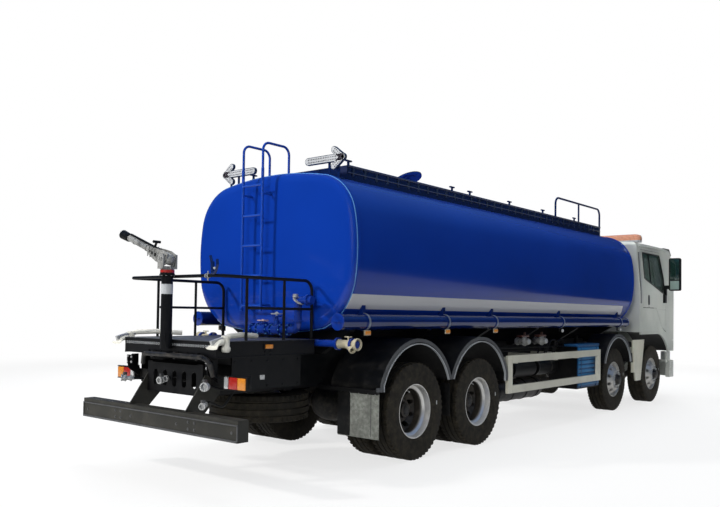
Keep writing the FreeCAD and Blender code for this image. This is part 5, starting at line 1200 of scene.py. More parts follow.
class TANKER_OT_guards(TankerPiece, bpy.types.Operator):
    """Lips of the mudguards, trims of the flaps and bolts of the side guards"""
    bl_idname = "tanker.guards"
    bl_label = "Mudguards and side guards"

    def build(self):
        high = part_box("mudguards")[1]
        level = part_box("tyre_1_left")[1].z / 2
        knee = level + 0.33
        second, third, fourth = (sum(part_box(name), Vector()).y / 2
                                 for name in ("tyre_2_left", "tyres_3_left", "tyres_4_left"))
        arches = (
            # centre, half width, crown, front end, rear end, outer face
            (second, 0.640, high.z - 0.025, 0.820, 0.835, 1.210),
            (third, 0.679, high.z, 0.760, 0.850, high.x),
            (fourth, 0.679, high.z, 0.850, 0.790, high.x),
        )
        bands, lips = Stock(), Stock()
        for centre, half, crown, front, rear, face in arches:
            line = [(centre + half, rear)] + arc((centre + half, knee), (centre, crown),
                                                 (centre - half, knee), 40)
            line += [(centre - half, knee), (centre - half, front)]
            for side in (1, -1):
                near, far = side * (face - 0.004), side * (face + 0.010)
                strip_along(bands, line, -0.001, -0.040, near, far)
                strip_along(lips, line, -0.052, -0.064, side * (face - 0.012), side * (face + 0.012))
        bands.piece("guard_bands", "lip_plastic", sharp=30)
        lips.piece("guard_lips", "lip_bright", sharp=30)
        self.flaps()
        self.side_guards()

    def flaps(self):
        low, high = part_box("mud_flaps")
        bars, spots, tabs = Stock(), [], Stock()
        for side in (1, -1):
            a, b = sided(side, 0.70, 1.232)
            bars.block((a, low.y + 0.009, high.z - 0.055), (b, low.y + 0.016, high.z - 0.030), 0.002)
            for x in (0.74, 0.86, 0.98, 1.10, 1.20):
                spots.append(((side * x, low.y + 0.016, high.z - 0.0425), facing(Y)))
            near, far = sided(side, 1.235, 1.27)
            tabs.block((near, low.y - 0.01, high.z - 0.02), (far, low.y + 0.05, high.z + 0.02), 0.004)
            for x in (0.80, 1.14):
                tabs.block((side * x - 0.003, low.y + 0.0095, low.z + 0.02),
                           (side * x + 0.003, low.y + 0.0125, high.z - 0.06), 0.001)
        bars.piece("flap_bars", "black_paint")
        inner = Stock()
        for side in (1, -1):
            a, b = sided(side, 0.690, 0.860)
            inner.block((a, low.y + 0.010, low.z + 0.01), (b, low.y + 0.020, high.z + 0.002), 0.003)
        inner.piece("inner_flaps", "black_plastic")
        tabs.piece("flap_tabs", "lip_plastic")
        repeat("flap_bolts", bolt(0.008, 0.006), spots, "bare_metal")
        thin = Stock()
        y = low.y - 1.36
        for side in (1, -1):
            a, b = sided(side, 1.10, 1.23)
            thin.block((a, y, 0.42), (b, y + 0.006, 0.80), 0.002)
        thin.piece("middle_flaps", "black_plastic")

    def side_guards(self):
        low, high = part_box("side_guards")
        spots, welds = [], Stock()
        start, end = high.y - 3.10, high.y
        for side in (1, -1):
            for y in (start + 0.05, start + 0.8, (start + end) / 2, end - 0.3, end - 0.05):
                for z in (0.63, 1.025):
                    spots.append(((side * high.x, y, z), facing(X * side)))
            for y in (start + 0.100, end - 0.120):
                near, far = sided(side, high.x - 0.002, high.x + 0.0025)
                welds.block((near, y, 0.582), (far, y + 0.007, 0.678), 0.001)
                welds.block((near, y, 0.977), (far, y + 0.007, 1.073), 0.001)
        repeat("guard_bolts", bolt(0.008, 0.005), spots, "cream_paint")
        welds.piece("guard_welds", "cream_paint")
        panel = Stock()
        middle = low.y + 0.30
        for side in (1, -1):
            near, far = sided(side, high.x - 0.012, high.x - 0.006)
            outline = [(middle - 0.055, 0.50), (middle - 0.045, 0.50), (middle - 0.020, 1.18),
                       (middle - 0.030, 1.18)]
            panel.plate(outline, "yz", near, far - near)
            near, far = sided(side, high.x - 0.06, high.x - 0.008)
            panel.block((near, low.y + 0.42, 0.62), (far, low.y + 0.55, 0.80), 0.006)
        panel.piece("panel_ribs", "cream_paint")


class TANKER_OT_wheels(TankerPiece, bpy.types.Operator):
    """Wheel nuts, hubs with their bright rings, valves and the balance marks of the tyres"""
    bl_idname = "tanker.wheels"
    bl_label = "Wheels"

    def build(self):
        for name in sorted(frame["nodes"]):
            if name.startswith("rim_"):
                self.steered(name)
            elif name.startswith("rims_"):
                self.driven(name)

    def axis(self, name):
        low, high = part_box(name)
        side = 1 if low.x > 0 else -1
        return side, Vector((0, (low.y + high.y) / 2, (low.z + high.z) / 2))

    def places(self, centre, side, x, radius, count):
        """Places round a wheel's axis on the plane at x, facing outwards."""
        return [((side * x, centre.y + radius * math.cos(a), centre.z + radius * math.sin(a)),
                 facing(X * side, a))
                for a in round_angles(count)]

    def steered(self, name):
        """A single wheel: nuts on pins, the hub in its bright ring, and the lips of the disc's holes."""
        side, centre = self.axis(name)
        body, face = BODY_OF[name], STEERED_FACE
        spots = self.places(centre, side, face, 0.1375, 10)
        repeat("nuts_" + name, wheel_nut(0.026), spots, "bare_metal", body)
        pin = stud([(0, 0.010), (0.9, 0.010), (1, 0.007)], 0.040, 8)
        repeat("studs_" + name, pin, spots, "dark_metal", body)
        hub = Stock()
        profile = [(0.0, 0.1056), (0.0105, 0.1056), (0.0185, 0.0808), (0.030, 0.078), (0.0585, 0.0708),
                   (0.0664, 0.0455), (0.0664, 0.002)]
        hub.lathe([(u / 0.07, r) for u, r in profile], centre + X * (side * face), X * (side * 0.07), 40)
        hub.piece("hub_" + name, "dark_metal", body)
        ring = Stock()
        ring.lathe([(0, 0.104), (0, 0.117), (0.6, 0.117), (1, 0.111), (1, 0.104)],
                   centre + X * (side * (face + 0.0005)), X * (side * 0.014), 40, closed=True)
        ring.piece("hub_ring_" + name, "bare_metal", body)
        bolts = self.places(centre, side, face + 0.046, 0.0735, 8)
        repeat("hub_bolts_" + name, bolt(0.006, 0.006), bolts, "dark_metal", body)
        holes = stud([(0, 0.0305), (0.5, 0.0335), (1, 0.0325), (0.6, 0.029)], 0.005, 20, closed=True)
        tilt = []
        for (x, y, z), _ in self.places(centre, side, face - 0.046, 0.2135, 10):
            out = (Vector((0, y, z)) - Vector((0, centre.y, centre.z))).normalized()
            tilt.append(((x, y, z), facing(X * side * 0.66 + out * 0.75)))
        repeat("hole_lips_" + name, holes, tilt, "rim_steel", body)
        self.marks(name, side, centre, STEERED_MIDDLE)

    def driven(self, name):
        """An outer twin: nuts, the brown dish and hub that stands out of it, and its bolts and cap."""
        side, centre = self.axis(name)
        body, face, hub_root = BODY_OF[name], DRIVEN_FACE, 0.915
        spots = self.places(centre, side, face, 0.1445, 10)
        repeat("nuts_" + name, wheel_nut(0.030), spots, "dark_metal", body)
        dish = Stock()
        profile = [(0.0, 0.133), (0.0, 0.192), (-0.032, 0.236), (-0.040, 0.252), (-0.044, 0.252),
                   (-0.036, 0.234), (-0.006, 0.188), (-0.006, 0.133)]
        dish.lathe([(u + 0.5, r) for u, r in profile], centre + X * (side * (face + 0.004 - 0.5)), X * side,
                   48, closed=True)
        dish.piece("dish_" + name, "hub_brown", body)
        hub = Stock()
        profile = [(0.086, 0.106), (0.096, 0.1058), (0.104, 0.1325), (0.1225, 0.1325), (0.1285, 0.0888),
                   (0.1725, 0.0808), (0.1806, 0.0556), (0.1806, 0.002)]
        hub.lathe([(u / 0.19, r) for u, r in profile], centre + X * (side * hub_root), X * (side * 0.19), 40)
        hub.piece("hub_" + name, "hub_brown", body)
        bolts = self.places(centre, side, hub_root + 0.1228, 0.112, 12)
        repeat("hub_bolts_" + name, bolt(0.0075, 0.008), bolts, "dark_metal", body)
        cap = Stock().lathe([(0, 0.050), (0.5, 0.048), (0.8, 0.036), (1, 0.004)],
                            centre + X * (side * 1.0955), X * (side * 0.010), 28)
        cap.piece("hub_cap_" + name, "dark_metal", body)
        self.marks(name, side, centre, DRIVEN_MIDDLE)

    def marks(self, name, side, centre, middle):
        """Tyre valve on the rim and the pale mark on the tyre's wall."""
        body = BODY_OF[name]
        outer = middle + 0.127
        stem = Stock()
        foot = centre + Vector((side * (outer - 0.075), 0.10, 0.238))
        stem.rod(foot, foot + Vector((side * 0.050, 0, -0.016)), 0.0045, 8)
        stem.rod(foot + Vector((side * 0.050, 0, -0.016)), foot + Vector((side * 0.066, 0, -0.021)), 0.007, 8)
        stem.piece("valve_" + name, "bare_metal", body)
        mark = Stock()
        near, far = sided(side, middle + 0.1478 - 0.004, middle + 0.1478 + 0.0012)
        mark.block((near, centre.y - 0.402, centre.z + 0.045), (far, centre.y - 0.384, centre.z + 0.090),
                   0.001)
        mark.piece("tyre_mark_" + name, "white_lens", body)


class TANKER_OT_tubes(TankerPiece, bpy.types.Operator):
    """Straps, lids and lamps of the hose tubes, the side outlets and the valves below them"""
    bl_idname = "tanker.tubes"
    bl_label = "Hose tubes and outlets"

    def build(self):
        low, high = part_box("side_tubes")
        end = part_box("water_tank")[1].y
        x, z = high.x - 0.089, low.z + 0.089
        straps, lids, lenses, housings, knobs, brackets = Stock(), Stock(), Stock(), Stock(), Stock(), Stock()
        for index, back in enumerate((0.33, 1.85, 3.0, 5.04, 7.4)):
            y = end - back
            for side in (1, -1):
                centre = Vector((side * x, y, z))
                straps.ring(centre - Y * 0.014, Y * 0.028, 0.0892, 0.0925, 40)
                brackets.block((centre.x - 0.010, y - 0.012, z - 0.15),
                               (centre.x + 0.010, y + 0.012, z - 0.086), 0.003)
                arm = sided(side, x - 0.01, x + 0.055)
                brackets.block((arm[0], y - 0.012, z - 0.150), (arm[1], y + 0.012, z - 0.138), 0.003)
                if index < 3:
                    marker(lenses, housings, (side * (x + 0.045), y, z - 0.112), side, 0.10, 0.055)
                else:
                    knobs.lathe([(0, 0.018), (0.2, 0.026), (0.6, 0.026), (1, 0.012)],
                                (side * (x + 0.045), y, z - 0.128), X * (side * 0.026), 20)
        for side in (1, -1):
            for y, way in ((high.y, 1), (low.y, -1)):
                centre = Vector((side * x, y, z))
                lids.lathe([(0, 0.0835), (0.4, 0.0865), (0.75, 0.086), (0.9, 0.078), (1, 0.002)],
                           centre - Y * (way * 0.012), Y * (way * 0.022), 36)
                lids.pipe([centre + Vector((-0.04, way * 0.006, 0)),
                           centre + Vector((-0.035, way * 0.034, 0)),
                           centre + Vector((0.035, way * 0.034, 0)), centre + Vector((0.04, way * 0.006, 0))],
                           0.005, 8, 0.02)
        straps.piece("tube_straps", "strap_steel")
        lids.piece("tube_lids", "pipe_paint")
        brackets.piece("tube_brackets", "black_paint")
        lenses.piece("tube_markers", "amber_plastic")
        housings.piece("tube_marker_housings", "hose_cream")
        knobs.piece("tube_knobs", "white_lens")
        self.outlets()
        self.valves()

    def outlets(self):
        y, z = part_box("water_tank")[1].y - 0.06, 1.29
        hose, rings, levers = Stock(), Stock(), Stock()
        profile = [(0.0, 0.048), (0.08, 0.050), (0.10, 0.043), (0.66, 0.041), (0.78, 0.046), (0.88, 0.062),
                   (0.97, 0.064), (1.0, 0.060), (1.0, 0.050), (0.80, 0.036), (0.62, 0.034)]
        for side in (1, -1):
            start = Vector((side * 0.985, y, z))
            hose.lathe(profile, start, X * (side * 0.262), 32)
            branch = start + X * (side * 0.10)
            way = Vector((side * 0.135, 0.055, -0.055))
            hose.lathe([(0, 0.030), (0.7, 0.029), (0.8, 0.036), (1.0, 0.037), (1.0, 0.026), (0.7, 0.022)],
                       branch, way, 24)
            rings.ring(start - X * (side * 0.02), X * (side * 0.030), 0.051, 0.064, 28)
            top = start + Vector((side * 0.13, 0, 0.042))
            levers.rod(top, top + Z * 0.030, 0.009, 10)
            levers.block(top + Vector((-0.045, -0.009, 0.026)), top + Vector((0.045, 0.009, 0.038)), 0.004)
        hose.piece("side_outlets", "hose_cream", sharp=40)
        rings.piece("outlet_rings", "pipe_paint")
        levers.piece("outlet_levers", "hose_cream")

    def valves(self):
        """Two dirty cast valves with brown pipes below each side of the tank, and their black hoses."""
        bodies, pipes, wheels, hoses = Stock(), Stock(), Stock(), Stock()
        long_hoses = (
            (0.013, ((0.50, 1.30, 1.04), (0.88, 1.15, 1.15), (0.90, -1.2, 1.13), (0.50, -1.9, 1.04))),
            (0.010, ((0.50, 1.34, 1.02), (0.82, 1.10, 1.10), (0.84, -1.2, 1.09), (0.50, -1.9, 1.02))),
        )
        for side in (1, -1):
            for y in (0.305, -0.245):
                centre = Vector((side * 0.96, y, 1.235))
                bodies.lathe([(0, 0.040), (0.12, 0.058), (0.2, 0.058), (0.24, 0.044), (0.62, 0.050),
                              (0.66, 0.066), (0.76, 0.066), (0.8, 0.050), (1, 0.046)],
                             centre - X * (side * 0.12), X * (side * 0.20), 24)
                waist = [(0, 0.030), (0.3, 0.034), (0.36, 0.052), (0.52, 0.052), (0.6, 0.034), (1, 0.030)]
                bodies.lathe(waist, centre + Vector((0, -0.085, 0)), Y * 0.17, 20)
                pipes.block(centre + Vector((-0.04, -0.115, 0.062)), centre + Vector((0.05, 0.115, 0.092)),
                            0.010)
                pipes.rod(centre + Vector((0, -0.04, 0.03)), centre + Vector((0, -0.04, 0.13)), 0.018, 14)
                wheels.lathe([(0, 0.034), (0.5, 0.038), (1, 0.030), (1, 0.010)], centre + X * (side * 0.080),
                             X * (side * 0.024), 20)
                for step in (-0.052, 0.052):
                    wheels.rod(centre + Vector((side * 0.02, step, -0.05)),
                               centre + Vector((side * 0.02, step, 0.055)), 0.006, 6)
            for y in (-0.46, -0.74, -1.02):
                hoses.pipe([(side * 0.86, y + 0.10, 1.04), (side * 0.93, y + 0.10, 1.24),
                            (side * 0.93, y - 0.10, 1.24), (side * 0.86, y - 0.12, 1.04)], 0.014, 10, 0.09)
            for radius, line in long_hoses:
                hoses.pipe([(side * x, y, z) for x, y, z in line], radius, 8, 0.15)
        bodies.piece("side_valves", "gun_metal", sharp=40)
        pipes.piece("valve_pipes", "brown_paint")
        wheels.piece("valve_caps", "bare_metal")
        hoses.piece("side_hoses", "black_plastic")


class TANKER_OT_pipework(TankerPiece, bpy.types.Operator):
    """Handwheels and flanges of the pipe behind the tank, and the nozzles beside it"""
    bl_idname = "tanker.pipework"
    bl_label = "Rear pipework"

    def handwheel(self, rims, centre, radius):
        """Level rim with four spokes on a short spindle."""
        rims.lathe([(0.5 + 0.5 * math.sin(a), radius + 0.0065 * math.cos(a)) for a in round_angles(8)],
                   Vector(centre) - Z * 0.0065, Z * 0.013, 28, closed=True)
        for out in spokes(4, 0.4):
            rims.rod(Vector(centre), Vector(centre) + out * radius, 0.005, 6)
        rims.rod(Vector(centre) - Z * 0.016, Vector(centre) + Z * 0.014, 0.013, 10)

    def build(self):
        # the axis of the cross pipe, and where its right end turns down
        y, level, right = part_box("pump_pipes")[1].y - 0.072, 1.42, -0.61
        rings, bolts, wheels, pale = Stock(), [], Stock(), Stock()
        for x in (0.065, -0.025, -0.155, -0.235, -0.365, -0.475):
            rings.ring((x - 0.007, y, level), X * 0.014, 0.040, 0.064, 28)
            for a in round_angles(6):
                bolts.append(((x - 0.007, y + 0.053 * math.cos(a), level + 0.053 * math.sin(a)), facing(-X)))
        for z in (level + 0.085, level + 0.215):
            rings.ring((right, y, z), Z * 0.016, 0.040, 0.056, 28)
        for x, waist, neck, tall in ((-0.09, 0.040, 0.024, 0.075), (-0.30, 0.036, 0.018, 0.085)):
            profile = [(0, 0.026), (0.3, 0.040), (0.7, waist), (1, neck)]
            rings.lathe(profile, (x, y, level + 0.02), Z * tall, 20)
        rings.piece("pipe_flanges", "pipe_paint")
        # The flange bolts take the same pale bright blue, a painted highlight.
        repeat("pipe_bolts", bolt(0.006, 0.006), bolts, "bead_blue")
        self.handwheel(wheels, (-0.09, y, level + 0.092), 0.058)
        wheels.piece("valve_wheel_low", "pink_paint")
        self.handwheel(pale, (-0.30, y, level + 0.165), 0.058)
        pale.rod((-0.30, y, level + 0.10), (-0.30, y, level + 0.19), 0.008, 8)
        pale.block((-0.325, y - 0.006, level + 0.170), (-0.275, y + 0.006, level + 0.182), 0.003)
        pale.piece("valve_wheel_high", "bare_metal")
        elbow = Stock()
        elbow.ring((right - 0.005, y, level + 0.30), Vector((-0.010, 0, 0.014)), 0.040, 0.066, 28)
        elbow.block((right - 0.02, y + 0.02, level + 0.335), (right + 0.03, y + 0.055, level + 0.372), 0.008)
        elbow.piece("pipe_elbow_ring", "bare_metal")
        self.nozzles()

    def nozzles(self):
        """Cast nozzles with wide mouths at the rear corners of the platform."""
        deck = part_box("work_platform")[1]
        casts, pipes = Stock(), Stock()
        for side in (1, -1):
            hub = Vector((side * 0.742, deck.y - 0.09, deck.z + 0.012))
            profile = [(0, 0.032), (0.1, 0.042), (0.25, 0.044), (0.35, 0.034), (0.8, 0.036), (0.9, 0.046),
                       (1, 0.044)]
            casts.lathe(profile, hub - Z * 0.105, Z * 0.15, 24)
            loops = []
            for share, wide, tall in ((0.0, 0.030, 0.030), (0.35, 0.034, 0.028), (0.7, 0.052, 0.020),
                                      (1.0, 0.078, 0.013)):
                centre = hub + Vector((side * 0.004, 0.045 + 0.125 * share, -0.012 - 0.055 * share * share))
                loops.append([centre + Vector((wide * math.cos(a), 0, tall * math.sin(a)))
                              for a in round_angles(20)])
            casts.rings(loops)
            pipes.pipe([hub + Vector((0, 0, 0.02)), hub + Vector((side * -0.02, -0.05, 0.040)),
                        hub + Vector((side * -0.08, -0.25, 0.046)),
                        hub + Vector((side * -0.16, -0.52, 0.030))], 0.026, 14, 0.06)
        casts.piece("nozzle_castings", "nozzle_white", sharp=40)
        pipes.piece("nozzle_hoses", "nozzle_white")


class TANKER_OT_roof(TankerPiece, bpy.types.Operator):
    """Tubes, stays and hooks of the roof's edge, treads of the walkway, and the manhole's fittings"""
    bl_idname = "tanker.roof"
    bl_label = "Roof gear"

    def build(self):
        low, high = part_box("roof_coaming")
        half, top = high.x, 3.205
        frames, hooks = Stock(), Stock()
        for side in (1, -1):
            outer = side * (half + 0.004)
            for z, radius, sides in ((top - 0.006, 0.013, 10), (top - 0.075, 0.008, 8)):
                frames.pipe([(outer, low.y + 0.02, z), (outer, high.y - 0.01, z)], radius, sides)
        frames.piece("coaming_tubes", "dark_blue_paint")
        spots = []
        count = 34
        for side in (1, -1):
            for index in range(count):
                y = low.y + 0.10 + (high.y - low.y - 0.2) * index / (count - 1)
                spots.append(((side * (half + 0.004), y, top - 0.10), facing(Z)))
        post = Stock().block((-0.006, -0.016, -0.01), (0.006, 0.016, 0.098))
        repeat("coaming_stays", post, spots, "roof_rim")
        for side in (1, -1):
            for y in (high.y - 0.02, 1.909, 1.466, 0.362, -0.719, -1.9):
                x = side * half
                hooks.block((x - 0.012, y - 0.010, top - 0.02), (x + 0.012, y + 0.010, top + 0.055), 0.003)
                hooks.block((x - 0.014, y - 0.050, top + 0.040), (x + 0.014, y + 0.050, top + 0.058), 0.004)
        hooks.piece("roof_hooks", "dark_blue_paint")
        self.walkway(low, high)
        self.hatch()

    def walkway(self, low, high):
        crown, spots = tank_crown(), []
        for index in range(22):
            y = low.y + 0.45 + index * 0.24
            if y < high.y - 2.1:
                spots += [((x, y, crown - 0.008 * abs(x) / 0.4), facing(Z)) for x in (-0.33, 0.0, 0.33)]
        tread = Stock().block((-0.14, -0.014, -0.004), (0.14, 0.014, 0.010))
        repeat("roof_treads", tread, spots, "pipe_paint")

    def hatch(self):
        low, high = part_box("manhole_lid")
        crown, y = tank_crown(), (low.y + high.y) / 2
        clamps = Stock()
        for out in spokes(6, math.pi / 6):
            if out.x < -0.8:
                continue  # the hinge is there
            foot = Vector((0, y, crown + 0.06)) + out * 0.183
            clamps.block(foot + Vector((-0.012, -0.012, -0.02)), foot + Vector((0.012, 0.012, 0.018)), 0.003)
            clamps.rod(foot + Z * 0.01, foot + out * 0.05 + Z * 0.02, 0.007, 8)
        clamps.piece("hatch_clamps", "bare_metal")
        ahead, over = tilted(LID_TURN)
        centre = Vector((-0.222, y, crown + 0.105)) + ahead * 0.222  # out from the hinge
        lid = Stock()
        rim = [(-1, 0.170), (-1, 0.190), (0.2, 0.190), (0.5, 0.184), (0.5, 0.170)]
        lid.lathe([(0.5 + u * 0.5, r) for u, r in rim], centre - over * 0.012, over * 0.014, 48, closed=True)
        handle = ((0.010, -0.06), (0.045, -0.05), (0.045, 0.05), (0.010, 0.06))
        lid.pipe([centre + over * rise + Y * across + ahead * 0.02 for rise, across in handle], 0.007, 10,
                 0.02)
        for angle in round_angles(6):
            spot = centre + (ahead * math.cos(angle) + Y * math.sin(angle)) * 0.135
            lid.rod(spot - over * 0.002, spot + over * 0.008, 0.010, 8)
        lid.piece("lid_trim", "dark_blue_paint", "lid")


class TANKER_OT_cab(TankerPiece, bpy.types.Operator):
    """Seals, handles, vents, mirrors, roof lamps and the front of the cab"""
    bl_idname = "tanker.cab"
    bl_label = "Cab"

    def build(self):
        low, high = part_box("cab_shell")
        self.front, self.rear = low.y, high.y
        self.doors()
        self.mirrors()
        self.light_bar()
        self.walls()
        self.nose()
        self.inside()

    def wall(self, z):
        """Distance of the cab's side from the middle: upright to the sill, leaning in above it."""
        return CAB_HALF - CAB_LEAN * max(z - CAB_SILL, 0.0)

    def on_side(self, side, line, out=0.0):
        return [Vector((side * (self.wall(z) + out), y, z)) for y, z in line]

    def doors(self):
        hinge, lock = self.front + 0.750, self.rear - 0.190
        window = [(hinge + 0.090, CAB_SILL), (lock - 0.110, CAB_SILL + 0.270), (lock - 0.090, 2.80),
                  (hinge + 0.260, 2.80), (hinge + 0.090, CAB_SILL + 0.290)]
        for side, hand in ((1, "left"), (-1, "right")):
            body = f"door_{hand}_leaf"
            seal = Stock()
            seal.pipe(self.on_side(side, window), 0.012, 8, 0.03, closed=True)
            seal.pipe(self.on_side(side, [(lock - 0.46, CAB_SILL + 0.19), (lock - 0.43, 2.79)], -0.004),
                      0.010, 8)
            seal.piece("window_seal_" + hand, "black_plastic", body)
            cup = Stock()
            near, far = sided(side, CAB_HALF - 0.002, CAB_HALF + 0.006)
            cup.plate(capsule((lock - 0.305, 1.872), (lock - 0.300, 1.985), 0.040), "yz", near, far - near,
                      0.002)
            cup.piece("handle_cup_" + hand, "black_plastic", body)
            grip = Stock()
            near, far = sided(side, CAB_HALF + 0.002, CAB_HALF + 0.018)
            grip.plate(capsule((lock - 0.303, 1.865), (lock - 0.299, 1.985), 0.014), "yz", near, far - near,
                       0.004)
            keyhole = (side * CAB_HALF, lock - 0.303, 1.80)
            grip.lathe([(0, 0.011), (1, 0.010)], keyhole, X * (side * 0.006), 16)
            grip.piece("handle_grip_" + hand, "lip_plastic", body)
            trim = Stock()
            trim.rod((side * (self.wall(2.09) + 0.003), hinge + 0.10, 2.058),
                     (side * (self.wall(2.33) + 0.003), lock - 0.12, 2.323), 0.009, 8)
            trim.piece("sill_trim_" + hand, "black_plastic", body)
            crease = Stock()
            near, far = sided(side, CAB_HALF - 0.001, CAB_HALF + 0.004)
            crease.block((near, hinge + 0.02, 1.752), (far, lock - 0.01, 1.762), 0.0015)
            crease.block((near, hinge + 0.12, 1.392), (far, hinge + 0.50, 1.402), 0.0015)
            crease.piece("door_crease_" + hand, "cab_paint", body)

    def mirrors(self):
        for side, hand in ((1, "left"), (-1, "right")):
            body = f"door_{hand}_leaf"
            a, b = sided(side, 1.372, 1.535)
            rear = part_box("mirror_" + hand)[1].y - 0.018
            # The wide mirror's glass is painted pale, a painted reflection; the main glass stays dark.
            for name, bottom, top, finish in (("main", 2.335, 2.730, "mirror_glass"),
                                              ("wide", 2.150, 2.315, "mirror_bright")):
                glass = Stock().block((a, rear - 0.004, bottom), (b, rear + 0.004, top), 0.003)
                glass.piece(f"mirror_{name}_{hand}", finish, body)
            edge = Stock()
            for bottom, top in ((2.328, 2.737), (2.143, 2.322)):
                line = [(a - 0.007, rear, bottom), (b + 0.007, rear, bottom), (b + 0.007, rear, top),
                        (a - 0.007, rear, top)]
                edge.pipe(line, 0.007, 8, 0.02, closed=True)
            edge.piece("mirror_edge_" + hand, "black_plastic", body)

    def light_bar(self):
        low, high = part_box("light_bar")
        middle = (low + high) / 2
        level, top = high.z - 0.160, high.z
        loops = []
        for share, round_off in ((-1.0, 0.55), (-0.985, 0.78), (-0.95, 0.93), (-0.90, 1.0), (0.90, 1.0),
                                 (0.95, 0.93), (0.985, 0.78), (1.0, 0.55)):
            half, tall = 0.088 * round_off, 0.118 * round_off
            x = share * high.x
            ring = [(-half, 0.0), (-half, tall * 0.55), (-half * 0.84, tall * 0.86), (-half * 0.55, tall),
                    (half * 0.55, tall), (half * 0.84, tall * 0.86), (half, tall * 0.55), (half, 0.0)]
            loops.append([Vector((x, middle.y + u, level + 0.038 + v)) for u, v in ring])
        dome = Stock().rings(loops)
        dome.piece("beacon_dome", "beacon_orange", "cab", replaces=("light_bar",), sharp=50)
        base = Stock()
        base.block((low.x + 0.012, low.y - 0.002, level), (high.x - 0.012, high.y + 0.002, level + 0.040),
                   0.010)
        for x in (-0.6, 0.6):
            base.block((x - 0.04, middle.y - 0.035, low.z + 0.005),
                       (x + 0.04, middle.y + 0.035, level + 0.005), 0.005)
        base.piece("beacon_base", "lip_bright", "cab")
        lamps = Stock()
        for x in (-0.86, -0.70, 0.70, 0.86):
            lamps.lathe([(0, 0.030), (0.3, 0.040), (0.8, 0.040), (1, 0.022)], (x, middle.y, level + 0.042),
                        Z * 0.06, 20)
        for x in (-0.52, -0.36, -0.2, 0.2, 0.36, 0.52):
            lamps.block((x - 0.06, middle.y - 0.05, level + 0.042),
                        (x + 0.06, middle.y + 0.05, level + 0.075), 0.006)
        lamps.piece("beacon_lamps", "white_lens", "cab")
        speaker = Stock()
        speaker.block((-0.13, low.y - 0.004, level + 0.041), (0.13, high.y + 0.004, top - 0.002), 0.014)
        speaker.piece("beacon_speaker", "black_plastic", "cab")

    def walls(self):
        """Louvred strips behind the doors, the shut lines beside them, the trims of the wheel arches, and a
        black sheet under each arch as painted shade.
        """
        back, strips, slats = self.rear - 0.095, Stock(), []
        for side in (1, -1):
            for bottom, top in ((1.86, CAB_SILL), (CAB_SILL, 2.79)):
                a, b = self.wall(bottom), self.wall(top)
                corners = [(a - 0.004, bottom), (a + 0.0035, bottom), (b + 0.0035, top), (b - 0.004, top)]
                strips.plate([(side * x, z) for x, z in corners], "xz", back - 0.034, 0.068)
            for index in range(26):
                z = 1.88 + 0.035 * index
                slats.append(((side * (self.wall(z) + 0.003), back, z), facing(X * side)))
        strips.piece("vent_strips", "black_plastic", "cab")
        outline = [(-0.011, -0.027), (0.011, -0.027), (0.007, 0.027), (-0.007, 0.027)]
        slat = Stock().plate(outline, "xy", 0.0, 0.006)
        repeat("vent_slats", slat, slats, "lip_bright", "cab")
        arch, radius = Stock(), 0.800
        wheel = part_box("tyre_1_left")
        centre, level = (wheel[0].y + wheel[1].y) / 2, wheel[1].z / 2
        turn = math.asin((0.965 - level) / radius)
        line = [(centre - radius * math.cos(turn + t), level + radius * math.sin(turn + t))
                for t in ((math.pi / 2 - turn) * k / 20 for k in range(21))]
        line += [(self.rear - 0.05, level + radius)]
        for side in (1, -1):
            strip_along(arch, line, 0.001, 0.042, side * (CAB_HALF - 0.02), side * (CAB_HALF + 0.010))
        arch.piece("cab_arch_trims", "cab_paint", "cab", sharp=30)
        # A black sheet under each arch: painted shade of the wheel well.
        arch_shade_sheet = Stock()
        for side in (1, -1):
            strip_along(arch_shade_sheet, line, 0.004, 0.012, side * 0.60, side * (CAB_HALF - 0.004))
        arch_shade_sheet.piece("cab_arch_liners", "black_plastic", "cab", sharp=30)
        seams = Stock()
        for side in (1, -1):
            near, far = sided(side, CAB_HALF - 0.001, CAB_HALF + 0.004)
            seams.block((near, self.rear - 0.178, 1.752), (far, self.rear - 0.004, 1.762), 0.0015)
            seams.block((near, self.rear - 0.055, 1.36), (far, self.rear - 0.047, 1.74), 0.001)
            seams.pipe([(side * (self.wall(2.80) + 0.010), self.rear - 0.10, 2.90),
                        (side * (self.wall(2.86) + 0.002), self.front + 0.9, 2.93),
                        (side * (self.wall(2.85)), self.front + 0.62, 2.90)], 0.011, 8)
        seams.piece("cab_creases", "cab_paint", "cab")
        tips = Stock()
        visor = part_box("sun_visor")
        for side in (1, -1):
            a, b = sided(side, visor[1].x - 0.06, visor[1].x)
            tips.block((a, visor[0].y + 0.16, visor[1].z - 0.11), (b, visor[1].y - 0.02, visor[1].z - 0.06),
                       0.006)
        tips.piece("visor_tips", "black_plastic", "cab")

